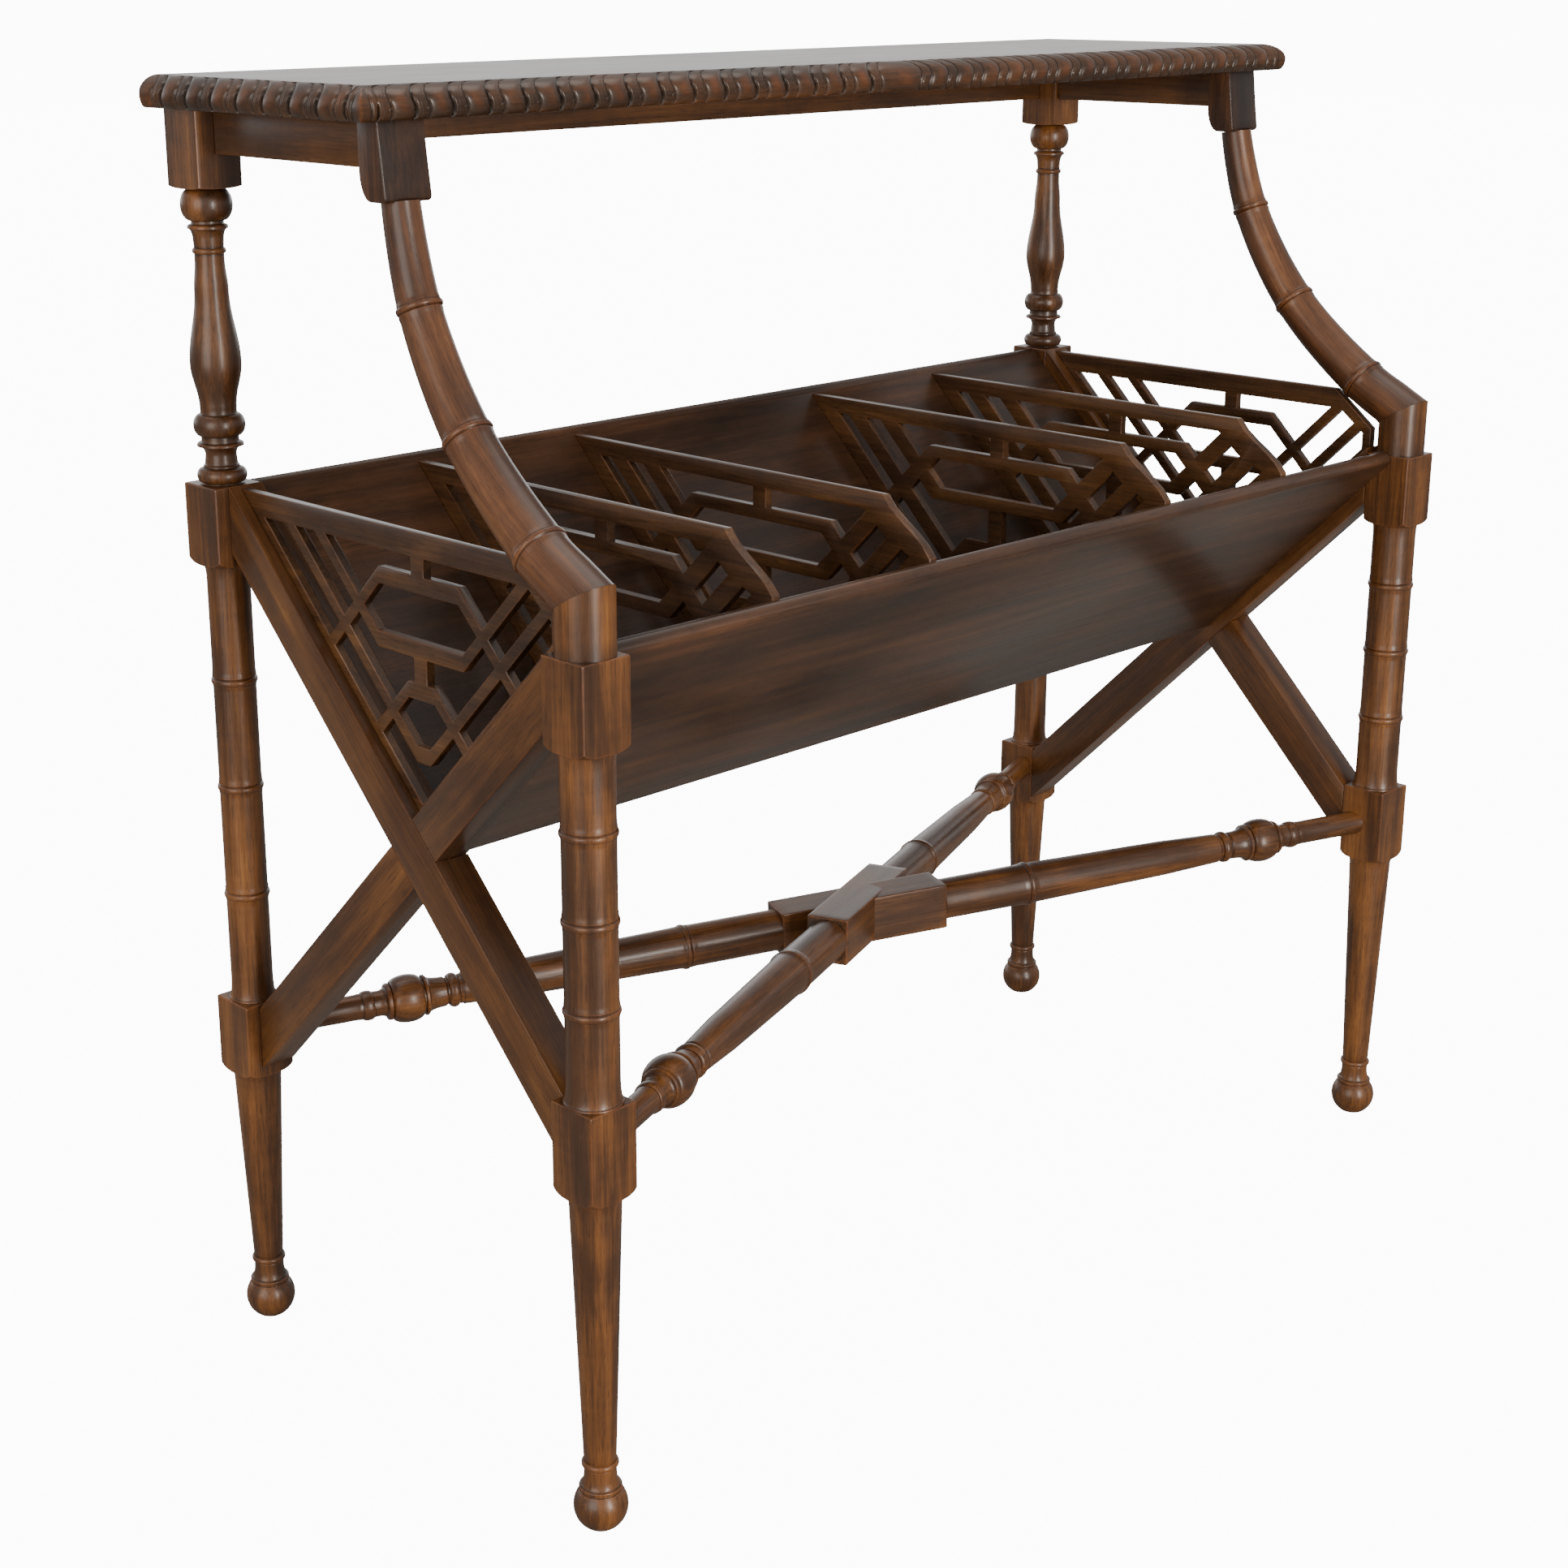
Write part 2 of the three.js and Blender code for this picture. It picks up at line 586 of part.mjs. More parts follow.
function dividerOutline(tongue) {
  const drop = (boardInset + tongue) / slope;
  const top = dividerTop - troughZ;
  const noseUp = frontBoardTop - troughZ;
  const nose = noseUp + boardInset / slope;
  const shape = new THREE.Shape();
  const [foot, rear] = [fretPoint(1, 0, -drop), fretPoint(1, top + drop, top)];
  const [shoulder, tip] = [fretPoint(-1, nose * dividerShoulderShare, top), fretPoint(-1, nose, noseUp)];
  const heel = fretPoint(-1, nose, nose - drop);
  shape.moveTo(foot.x, foot.y);
  shape.lineTo(rear.x, rear.y);
  shape.lineTo(shoulder.x, shoulder.y);
  shape.bezierCurveTo(shoulder.x - dividerOgeeWidth, shoulder.y - dividerOgeeHeight,
    tip.x + dividerOgeeWidth, tip.y + dividerOgeeHeight, tip.x, tip.y);
  shape.lineTo(heel.x, heel.y);
  return shape.getPoints(5);
}

// Opening of a divider inside its rims, which is widest along the shaped front edge
function dividerWindow() {
  const foot = (dividerRimWidth - boardInset) / slope;
  return [fretPoint(1, 0, foot), fretPoint(1, fretTopRailBottom - foot, fretTopRailBottom),
    ...dividerWindowFront.map(([across, up]) => fretPoint(-1, across, up))];
}

function fretted(outline, inner, fret, x0, x1, top) {
  const body = plate(outline, x0, x1);
  const window = plate(inner, x0 - cutOverrun, x1 + cutOverrun);
  return body.subtract(window).add(fretPattern(fret, x0, x1, top).intersect(body));
}

const panelOuterX = barOuterX - panelSetback;

function endPanelBody(side, grow) {
  return plate(panelOutline(panelTongue + grow), side * (panelOuterX + grow), side * (panelOuterX - panelThickness - grow));
}

function endPanel(side) {
  const [low, high] = [side * panelOuterX, side * (panelOuterX - panelThickness)].sort((a, b) => a - b);
  const panel = fretted(panelOutline(panelTongue), panelOutline(-fretEdgeWidth, fretRimWidth), panelFret,
    low, high, panelTop - troughZ);
  return cut(panel, [armShaft(side, fitGap).translate([side * postX, 0, 0])]);
}

function dividerBody(x, grow) {
  return plate(dividerOutline(dividerTongue + grow), x - dividerThickness / 2 - grow, x + dividerThickness / 2 + grow);
}

function divider(x) {
  return fretted(dividerOutline(dividerTongue), dividerWindow(), dividerFret,
    x - dividerThickness / 2, x + dividerThickness / 2, dividerTop - troughZ);
}

// Cross stretchers. Each runs from a front post down to the opposite rear post.
function stretcherAxis(hand) {
  const front = new THREE.Vector3(hand * postX, -postY, stretcherFrontHeight);
  const rear = new THREE.Vector3(-hand * postX, postY, stretcherRearHeight);
  const along = rear.clone().sub(front);
  return { middle: front.clone().add(rear).divideScalar(2), along: along.clone().normalize(), half: along.length() / 2 };
}

// Half of a stretcher from the centre block out to the post, in shares of its free length
function stretcherProfile(innerEnd, outerEnd) {
  const free = outerEnd - innerEnd;
  const radius = stretcherBallRadius;
  const at = (outShare, radiusShare) => point(radius * radiusShare, outerEnd - free * outShare);
  const ring = (outShare, halfShare, baseShare, crestShare) => bead(
    outerEnd - free * outShare, free * halfShare, radius * baseShare, radius * crestShare, 3);
  return [
    point(0, innerEnd - cutOverrun), point(radius * 0.83, innerEnd - cutOverrun), at(0.985, 0.83), at(0.95, 0.79),
    ...ring(0.776, 0.008, 0.79, 0.87),
    at(0.335, 0.6), ...ring(0.32, 0.01, 0.6, 0.7), at(0.304, 0.63), at(0.2635, 0.89),
    at(0.232, 1), at(0.214, 0.94), ...ring(0.197, 0.008, 0.74, 0.81), at(0.178, 0.55),
    ...ring(0.157, 0.01, 0.56, 0.64), at(0, 0.55),
    point(radius * 0.55, outerEnd + blockHalf), point(0, outerEnd + blockHalf),
  ];
}

function placeAlong(geometry, { middle, along }) {
  const across = new THREE.Vector3(-along.y, along.x, 0).normalize();
  const up = new THREE.Vector3().crossVectors(along, across);
  return geometry.applyMatrix4(new THREE.Matrix4().makeBasis(along, across, up).setPosition(middle));
}

function stretcherBlock(axis, grow) {
  const box = new THREE.BoxGeometry(
    stretcherBlockLength, stretcherBlockWidth + 2 * grow, stretcherBlockDepth + 2 * grow);
  return solidOf(placeAlong(box, axis));
}

function lowerBlockFaces(grow) {
  const grown = blockHalf + grow;
  return [-1, 1].flatMap((sideX) => [-1, 1].map((sideY) => {
    const [x, y] = [sideX * postX, sideY * postY];
    return boxSolid([x - grown, y - grown, rearLowerBlockBottom - blockWidth],
      [x + grown, y + grown, frontLowerBlockBottom + frontLowerBlockHeight + blockWidth]);
  }));
}

// Distance from the middle of a stretcher to the face of the post's block that it enters
function stretcherReach(axis) {
  return (postX - blockHalf) / Math.abs(axis.along.x);
}

function stretcherTenons(axis, grow) {
  const reach = stretcherReach(axis);
  return [-1, 1].map((end) => {
    const direction = axis.along.clone().multiplyScalar(end);
    const start = axis.middle.clone().addScaledVector(direction, reach - 3 * cutOverrun);
    return peg(start, direction, stretcherTenonLength + 3 * cutOverrun + grow, stretcherTenonRadius + grow, 10);
  });
}

function stretcher(hand) {
  const axis = stretcherAxis(hand);
  const other = stretcherAxis(-hand);
  const profile = stretcherProfile(stretcherBlockLength / 2, stretcherReach(axis));
  const halves = [90, -90].map((turn) => solidOf(placeAlong(
    new THREE.LatheGeometry(profile, turningSides).rotateZ(-turn * degree), axis)));
  const body = cut(join([stretcherBlock(axis, 0), ...halves]), lowerBlockFaces(fitGap));
  const size = stretcherBlockLength;
  const { middle } = axis;
  const half = hand < 0
    ? boxSolid([-size, -size, middle.z - size], [size, size, middle.z + fitGap / 2])
    : boxSolid([-size, -size, middle.z - fitGap / 2], [size, size, middle.z + size]);
  return join([cut(body, [stretcherBlock(other, fitGap).intersect(half)]), ...stretcherTenons(axis, 0)]);
}

// Mortises of one post, cut in the frame of the whole piece and moved to the post's own
function mortises(sideX, sideY) {
  const bars = [-1, 1].flatMap((rising) => barTenons(sideX, rising, fitGap));
  const pegs = [-1, 1].flatMap((hand) => stretcherTenons(stretcherAxis(hand), fitGap));
  const rails = sideY > 0 ? [endRail(sideX, fitGap).tongue, rearRail(fitGap).tongue] : [];
  return [...bars, ...pegs, ...rails].map((tool) => tool.translate([-sideX * postX, -sideY * postY, 0]));
}

function frontPost(sideX) {
  const lowerTop = frontLowerBlockBottom + frontLowerBlockHeight;
  const middleTop = frontMiddleBlockBottom + frontMiddleBlockHeight;
  const stubTop = elbowHeight + 2 * elbowRadius;
  const profile = [
    ...footProfile(frontLowerBlockBottom), point(legTopRadius, frontLowerBlockBottom + blockOvolo),
    point(legTopRadius, lowerTop - cutOverrun),
    point(frontShaftRadius + shaftFlare, lowerTop - cutOverrun),
    ...bambooProfile(lowerTop, frontMiddleBlockBottom, frontShaftRadius, frontNodeShares),
    point(elbowRadius, middleTop - cutOverrun), point(elbowRadius, stubTop), point(0, stubTop),
  ];
  const body = join([turned(profile),
    block(frontLowerBlockBottom, frontLowerBlockHeight, legTopRadius + shaftFlare),
    block(frontMiddleBlockBottom, frontMiddleBlockHeight, frontShaftRadius + shaftFlare)]);
  const atElbow = [mitreTool(1), elbowDowelSolid(fitGap)].map((tool) => tool.translate([0, postY, 0]));
  return cut(body, [...mortises(sideX, -1), ...atElbow]);
}

function rearPost(sideX) {
  const lowerTop = rearLowerBlockBottom + rearLowerBlockHeight;
  const middleTop = rearMiddleBlockBottom + rearMiddleBlockHeight;
  const topBottom = railTop - rearTopBlockHeight;
  const profile = [
    ...footProfile(rearLowerBlockBottom), point(legTopRadius, rearLowerBlockBottom + blockOvolo),
    point(legTopRadius, lowerTop - cutOverrun),
    point(rearShaftRadius + shaftFlare, lowerTop - cutOverrun),
    ...bambooProfile(lowerTop, rearMiddleBlockBottom, rearShaftRadius, rearNodeShares),
    ...balusterProfile(middleTop, topBottom),
    point(balusterRadius * 0.62, topBottom + blockOvolo), point(0, topBottom + blockOvolo),
  ];
  const body = join([turned(profile),
    block(rearLowerBlockBottom, rearLowerBlockHeight, legTopRadius + shaftFlare),
    block(rearMiddleBlockBottom, rearMiddleBlockHeight, rearShaftRadius + shaftFlare),
    block(topBottom, rearTopBlockHeight, balusterRadius, topBlockOvolo, topBlockHalf)]);
  return cut(body, mortises(sideX, 1));
}

function arm(sideX) {
  const middle = -sideX * armHeadInset;
  const head = plate(armHeadOutline(), middle - armHeadWidth / 2, middle + armHeadWidth / 2);
  const shaft = cut(armShaft(sideX), [mitreTool(-1)]);
  const railTongue = endRail(sideX, fitGap).tongue.translate([-sideX * postX, 0, 0]);
  return cut(join([head, shaft]), [elbowDowelSolid(fitGap), railTongue]);
}

// Table top: its section is carried round the front and ends, swelling with the gadroon lobes
function tableTop() {
  const left = -topLength / 2;
  const front = -topFrontReach;
  const inset = gadroonWidth;
  const corners = [point(left, topRearReach), point(left, front), point(-left, front), point(-left, topRearReach)];
  const sectionShares = [[0.4, 0], [0, 0.28], [0.12, 0.7], [0.52, 0.93], [1, 1]];
  const columns = [];
  const addColumn = (at, inward, hollow) => {
    columns.push(sectionShares.map(([inShare, upShare], row) => {
      const carved = row > 0 && row < sectionShares.length - 1 ? hollow : 0;
      const depth = inset * inShare + carved;
      return new THREE.Vector3(at.x + inward.x * depth, at.y + inward.y * depth, railTop + topThickness * upShare);
    }));
  };
  const sides = [[0, 1, point(1, 0)], [1, 2, point(0, 1)], [2, 3, point(-1, 0)]];
  sides.forEach(([from, to, inward], side) => {
    const start = corners[from];
    const end = corners[to];
    const length = start.distanceTo(end);
    const startCorner = side === 0 ? 0 : gadroonCornerShare * gadroonPitch / 2;
    const endCorner = side === 2 ? 0 : gadroonCornerShare * gadroonPitch / 2;
    const carved = length - startCorner - endCorner;
    const count = Math.max(1, Math.round(carved / gadroonPitch));
    const pitch = carved / count;
    if (side > 0) {
      const before = sides[side - 1][2];
      addColumn(start, point(inward.x + before.x, inward.y + before.y), 0);
    }
    for (let i = 0; i < count; i += 1) {
      const places = [[0, 1], [0.3 * gadroonLobeShare, 0.1], [0.7 * gadroonLobeShare, 0.1], [gadroonLobeShare, 0.9]];
      for (const [share, depthShare] of places) {
        const at = start.clone().lerp(end, (startCorner + (i + share) * pitch) / length);
        addColumn(at, inward, gadroonHollow * depthShare);
      }
    }
    addColumn(start.clone().lerp(end, (length - endCorner) / length), inward, gadroonHollow);
  });
  const rows = sectionShares.length;
  const vertices = columns.flat().flatMap((corner) => [corner.x, corner.y, corner.z]);
  const faces = [];
  for (let i = 0; i < columns.length; i += 1) {
    const next = (i + 1) % columns.length;
    for (let j = 0; j < rows - 1; j += 1) {
      const [a, b] = [i * rows + j, next * rows + j];
      faces.push(a, b, a + 1, b, b + 1, a + 1);
    }
  }
  // The flat top and the underside are fans from their middle points
  [0, rows - 1].forEach((row) => {
    const middle = vertices.length / 3;
    vertices.push(0, (topRearReach - topFrontReach) / 2, columns[0][row].z);
    for (let i = 0; i < columns.length; i += 1) {
      const [a, b] = [i * rows + row, ((i + 1) % columns.length) * rows + row];
      faces.push(...(row === 0 ? [b, a, middle] : [a, b, middle]));
    }
  });
  const top = new THREE.BufferGeometry();
  top.setAttribute('position', new THREE.Float32BufferAttribute(vertices, 3));
  top.setIndex(faces);
  return solidOf(top);
}

// Finishes: one stained and lacquered wood, a little darker on the boards and lighter on the turnings
const finishes = {
  turned: new THREE.MeshStandardMaterial({ color: 0x5a3219, roughness: 0.32, metalness: 0 }),
  framed: new THREE.MeshStandardMaterial({ color: 0x63381c, roughness: 0.34, metalness: 0 }),
  board: new THREE.MeshStandardMaterial({ color: 0x3f2216, roughness: 0.3, metalness: 0 }),
  fret: new THREE.MeshStandardMaterial({ color: 0x55301c, roughness: 0.36, metalness: 0 }),
};

const trough = new THREE.Group();
trough.name = 'book_trough';

// The origin lies under the middle of the piece, between the elbows in front and the top's rear edge
trough.position.y = (postY + Math.max(blockHalf, elbowRadius, footBallRadius) - topRearReach) / 2;

function addPiece(name, solid, finish, place = [0, 0, 0]) {
  const mesh = new THREE.Mesh(geometryOf(solid), finishes[finish]);
  mesh.name = name;
  mesh.position.set(...place);
  trough.add(mesh);
}

const sideNames = new Map([[-1, 'left'], [1, 'right']]);

addPiece('table_top', tableTop(), 'board');
addPiece('rear_rail', rearRail(0).whole, 'framed');
addPiece('front_trough_board', troughBoard(frontBoardOutline()), 'board');
addPiece('rear_trough_board', troughBoard(rearBoardOutline()), 'board');

for (const [side, word] of sideNames) {
  addPiece(`${word}_front_post`, frontPost(side), 'turned', [side * postX, -postY, 0]);
  addPiece(`${word}_rear_post`, rearPost(side), 'turned', [side * postX, postY, 0]);
  addPiece(`${word}_arm`, arm(side), 'turned', [side * postX, 0, 0]);
  addPiece(`${word}_elbow_dowel`, elbowDowelSolid(0), 'framed', [side * postX, 0, 0]);
  addPiece(`${word}_end_rail`, endRail(side, 0).whole, 'framed');
  addPiece(`${word}_rear_rising_bar`, bar(side, 1), 'framed');
  addPiece(`${word}_front_rising_bar`, bar(side, -1), 'framed');
  addPiece(`${word}_end_panel`, endPanel(side), 'fret');
  for (const which of ['front', 'rear']) {
    boardDowelPlaces(which).forEach((place, i) => {
      addPiece(`${word}_${which}_board_dowel_${i + 1}`, boardDowel(side, place, 0), 'framed');
    });
  }
  dividerPlaces.forEach((x, i) => {
    addPiece(`${word}_${i === 0 ? 'inner' : 'outer'}_divider`, divider(side * x), 'fret');
  });
}

addPiece('left_front_stretcher', stretcher(-1), 'turned');
addPiece('right_front_stretcher', stretcher(1), 'turned');

export default trough;
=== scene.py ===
"""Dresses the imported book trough: fine turned, carved and pierced surfaces with a stained wood finish.

Every length in the size tables is in millimetres. Meshes are in metres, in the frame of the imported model:
+X along the piece, +Y to the rear, +Z up, the floor at zero.
"""

from __future__ import annotations

import logging
import math
from dataclasses import dataclass, field
from enum import Enum

import bmesh
import bpy
import numpy as np
from mathutils import Matrix, Vector

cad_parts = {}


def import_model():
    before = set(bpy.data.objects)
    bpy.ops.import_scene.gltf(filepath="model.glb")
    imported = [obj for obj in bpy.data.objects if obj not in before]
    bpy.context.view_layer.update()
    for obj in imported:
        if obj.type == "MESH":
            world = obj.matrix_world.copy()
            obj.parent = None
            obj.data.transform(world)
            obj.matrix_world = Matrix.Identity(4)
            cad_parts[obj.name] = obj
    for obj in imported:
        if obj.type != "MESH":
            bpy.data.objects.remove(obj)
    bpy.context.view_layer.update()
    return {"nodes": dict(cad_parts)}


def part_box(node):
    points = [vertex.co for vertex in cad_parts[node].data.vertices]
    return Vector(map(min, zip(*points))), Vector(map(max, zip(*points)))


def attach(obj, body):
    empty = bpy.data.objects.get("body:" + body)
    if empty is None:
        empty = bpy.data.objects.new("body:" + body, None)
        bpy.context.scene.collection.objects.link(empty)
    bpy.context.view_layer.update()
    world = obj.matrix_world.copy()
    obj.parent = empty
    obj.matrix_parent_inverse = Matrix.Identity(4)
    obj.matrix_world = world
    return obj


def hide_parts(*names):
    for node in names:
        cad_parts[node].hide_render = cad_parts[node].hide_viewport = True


LOG = logging.getLogger("book_trough")
BODY = "root"
MM = 0.001
DISPLAY_WHITE = 255.0

Pair = tuple[float, float]
Triple = tuple[float, float, float]
Rgb = tuple[int, int, int]
Runs = tuple[tuple, ...]

# Sizes that more than one piece follows
REAR_SHIFT = -0.85
POST_HALF = 19.0
TOP_UNDERSIDE = 889.0
ELBOW: Pair = (-188.3, 623.0)
ARM_BEND: Pair = (-148.84, 644.92)
ELBOW_RADIUS = 18.8
ROUND_COLUMNS = 72
QUARTER_STEPS = np.radians([0.0, 22.5, 45.0, 67.5, 90.0])


class Side(Enum):
    """The two ends of the piece."""

    LEFT = "left"
    RIGHT = "right"

    @property
    def sign(self) -> int:
        """-1 on the left, +1 on the right."""
        return -1 if self is Side.LEFT else 1


# Surfaces from arrays


@dataclass
class Surface:
    """Points, faces and the values that the finish reads, before they become a mesh.

    points are in millimetres. grain holds each point's place in its timber, the first axis along the grain.
    wear is 1 on crests and arrises that hands have rubbed, and on the carved lobes it also paints a warm lit
    patch.
    The darkening value is painted shade, 1 in hollows and creases, and it also marks dark mitre seams.
    """

    points: np.ndarray
    faces: list
    grain: np.ndarray
    wear: np.ndarray
    shade_and_seams: np.ndarray

    def joined(self, other: "Surface") -> "Surface":
        """Gathers this closed surface and another into one.

        Args:
            other: the other surface, with its own points.

        Returns:
            One surface with all their points and faces.
        """
        start = len(self.points)
        faces = [tuple(face) for face in self.faces] + [tuple(corner + start for corner in face)
                                                        for face in other.faces]
        return Surface(np.vstack([self.points, other.points]), faces, np.vstack([self.grain, other.grain]),
                       np.append(self.wear, other.wear), np.append(self.shade_and_seams, other.shade_and_seams))


def climb(value: np.ndarray, start: float, span: float) -> np.ndarray:
    """0 up to the start, 1 past start + span, and straight between."""
    return np.clip((value - start) / span, 0, 1)


def tent(value: np.ndarray, middle: float, half: float) -> np.ndarray:
    """1 at the middle, falling straight to 0 at half a width from it."""
    return np.clip(1 - np.abs(value - middle) / half, 0, 1)


def lobe(value: np.ndarray, middle: float, half: float) -> np.ndarray:
    """Half a circle's outline: sqrt(1 - ((value - middle) / half)^2), and 0 outside it."""
    return np.sqrt(np.clip(1 - ((value - middle) / half) ** 2, 0, 1))


def distances(line: np.ndarray) -> np.ndarray:
    """Distance along a line of points in a plane, from its first point to each."""
    return np.concatenate([[0], np.cumsum(np.hypot(*np.diff(line, axis=0).T))])


def timber_place(seed: int) -> np.ndarray:
    """Where in the timber a piece is cut: a shift of its grain, in millimetres, that differs by seed."""
    plank = 900.0
    return np.array([seed * 731.0, seed * 147.0 % plank, seed * 263.0 % plank])


def tube_surface(grid: np.ndarray, poles: list, grain: np.ndarray, pole_grain: list, wear: np.ndarray,
                 shade_and_seams: np.ndarray, seed: int, reverse: bool = False) -> Surface:
    """Closes a grid of rings: quads round its columns, and a fan of triangles to a pole at each end.

    Args:
        grid: points by ring, column and axis.
        poles: the points that close the first and the last ring.
        grain: each point's place along and across the grain, shaped as the grid.
        pole_grain: the same for the poles.
        wear: wear, one per ring or one per point.
        shade_and_seams: painted shade in hollows and creases, and dark seams, one per ring or one per point.
        seed: which part of the timber the piece is cut from.
        reverse: turns the faces round, for rings that run clockwise seen from their last one.

    Returns:
        The surface. Its faces point outwards when the rings climb and run counter-clockwise from above.
    """
    rows, columns = grid.shape[:2]
    count = rows * columns
    row, column = np.meshgrid(np.arange(rows - 1), np.arange(columns), indexing="ij")
    after = (column + 1) % columns
    quads = np.stack([row * columns + column, row * columns + after, (row + 1) * columns + after,
                      (row + 1) * columns + column], -1).reshape(-1, 4)
    ring = np.arange(columns)
    beyond = (ring + 1) % columns
    last = count - columns
    first_fan = np.stack([beyond, ring, np.full(columns, count)], -1)
    last_fan = np.stack([last + ring, last + beyond, np.full(columns, count + 1)], -1)
    faces = quads.tolist() + first_fan.tolist() + last_fan.tolist()
    if reverse:
        faces = [face[::-1] for face in faces]
    marks = [np.append(np.broadcast_to(mark, (rows, columns)).ravel(), [0, 0]) for mark in (wear, shade_and_seams)]
    return Surface(np.vstack([grid.reshape(-1, 3), poles]), faces,
                   np.vstack([grain.reshape(-1, 3), pole_grain]) + timber_place(seed), *marks)


def mesh_object(name: str, surface: Surface, smooth_angle: float = 32.0) -> bpy.types.Object:
    """Makes a mesh object of a surface, at the origin, with its finish attributes.

    Args:
        name: the object's name.
        surface: the points in millimetres, faces and finish values.
        smooth_angle: edges that turn by more than this many degrees stay sharp.

    Returns:
        The new object, linked to the scene.
    """
    mesh = bpy.data.meshes.new(name)
    mesh.from_pydata((surface.points * MM).tolist(), [], surface.faces)
    mesh.validate()
    write_attribute(mesh, "grain", surface.grain * MM)
    write_attribute(mesh, "wear", surface.wear)
    write_attribute(mesh, "shade_and_seams", surface.shade_and_seams)
    return placed(name, mesh, smooth_angle)


def write_attribute(mesh: bpy.types.Mesh, key: str, values: np.ndarray) -> None:
    """Stores a number or a vector per point, as the values' shape says."""
    kind, slot = ("FLOAT", "value") if values.ndim == 1 else ("FLOAT_VECTOR", "vector")
    mesh.attributes.new(key, kind, "POINT").data.foreach_set(slot, values.astype(np.float32).ravel())


def placed(name: str, mesh: bpy.types.Mesh, smooth_angle: float) -> bpy.types.Object:
    """Smooths a mesh but for its sharp edges and links an object of it at the origin.

    Args:
        name: the object's name.
        mesh: its mesh.
        smooth_angle: edges that turn by more than this many degrees stay sharp.

    Returns:
        The object.
    """
    mesh.shade_smooth()
    mesh.set_sharp_from_angle(angle=math.radians(smooth_angle))
    mesh.update()
    piece = bpy.data.objects.new(name, mesh)
    bpy.context.scene.collection.objects.link(piece)
    return piece


# Turned outlines


class Shape(Enum):
    """How a profile runs from one point to the next."""

    LINE = "line"
    EASE = "ease"
    FULL = "full"
    HOLLOW = "hollow"
    BEAD = "bead"


# Bamboo node: swelling in shares of its bulge and distance from its ridge, with the ridge's crest last
NODE_RUNS: Runs = (
    (0.0, -6.0, Shape.LINE, 4), (0.35, -2.2, Shape.EASE, 5), (0.25, 1.5, Shape.BEAD, 8, 1.0),
    (-0.1, 2.1, Shape.LINE, 2), (0.32, 2.8, Shape.LINE, 2), (0.0, 7.5, Shape.EASE, 5))


@dataclass
class Profile:
    """A turned outline, drawn from the bottom up as lists of radius and height."""

    radius: list
    height: list

    def to(self, radius: float, height: float, shape: Shape, steps: int) -> "Profile":
        """Runs to a point.

        LINE is straight. EASE follows half a cosine wave, level with the axis at both ends. FULL is a quarter
        of an ellipse that bulges outwards, and HOLLOW one that bulges inwards.

        Args:
            radius: radius at the end.
            height: height at the end.
            shape: how the outline gets there.
            steps: number of points added.

        Returns:
            The profile, for the next call.
        """
        r0, z0 = self.radius[-1], self.height[-1]
        share = np.arange(1, steps + 1) / steps
        quarter = share * math.pi / 2
        if shape is Shape.LINE:
            rise, way = share, share
        elif shape is Shape.EASE:
            rise, way = 0.5 - 0.5 * np.cos(share * math.pi), share
        elif (shape is Shape.FULL) == (radius > r0):
            rise, way = np.sin(quarter), 1 - np.cos(quarter)
        else:
            rise, way = 1 - np.cos(quarter), np.sin(quarter)
        self.radius += (r0 + (radius - r0) * rise).tolist()
        self.height += (z0 + (height - z0) * way).tolist()
        return self

    def bead(self, radius: float, height: float, steps: int, crest: float) -> "Profile":
        """Half an ellipse out to a crest and back.

        Args:
            radius: radius where it ends.
            height: height where it ends.
            steps: number of points added.
            crest: radius of the crest.

        Returns:
            The profile, for the next call.
        """
        r0, z0 = self.radius[-1], self.height[-1]
        angle = np.arange(1, steps + 1) / steps * math.pi
        way = 0.5 - 0.5 * np.cos(angle)
        base = r0 + (radius - r0) * way
        self.radius += (base + (crest - 0.5 * (r0 + radius)) * np.sin(angle)).tolist()
        self.height += (z0 + (height - z0) * way).tolist()
        return self

    def follow(self, runs: Runs, radius: float = 0.0, wide: float = 1.0, height: float = 0.0,
               length: float = 1.0) -> "Profile":
        """Runs through a table whose rows hold radius, height, shape, steps and, for a bead, its crest.

        Each radius in the table counts as radius + wide r, and each height as height + length z.

        Args:
            runs: the table.
            radius: what is added to every radius.
            wide: what every radius is multiplied by first.
            height: what is added to every height.
            length: what every height is multiplied by first.

        Returns:
            The profile, for the next call.
        """
        for to_radius, to_height, shape, steps, *crest in runs:
            end = (radius + wide * to_radius, height + length * to_height)
            if shape is Shape.BEAD:
                self.bead(*end, steps, radius + wide * crest[0])
            else:
                self.to(*end, shape, steps)
        return self

    def node(self, middle: float, bulge: float) -> "Profile":
        """A bamboo node at a height: a slow swelling, a narrow rubbed ridge and a scratched line over it."""
        return self.follow(NODE_RUNS, radius=self.radius[-1], wide=bulge, height=middle)

    def arrays(self) -> tuple[np.ndarray, np.ndarray]:
        """The outline as two arrays: radius and height."""
        return np.array(self.radius, float), np.array(self.height, float)


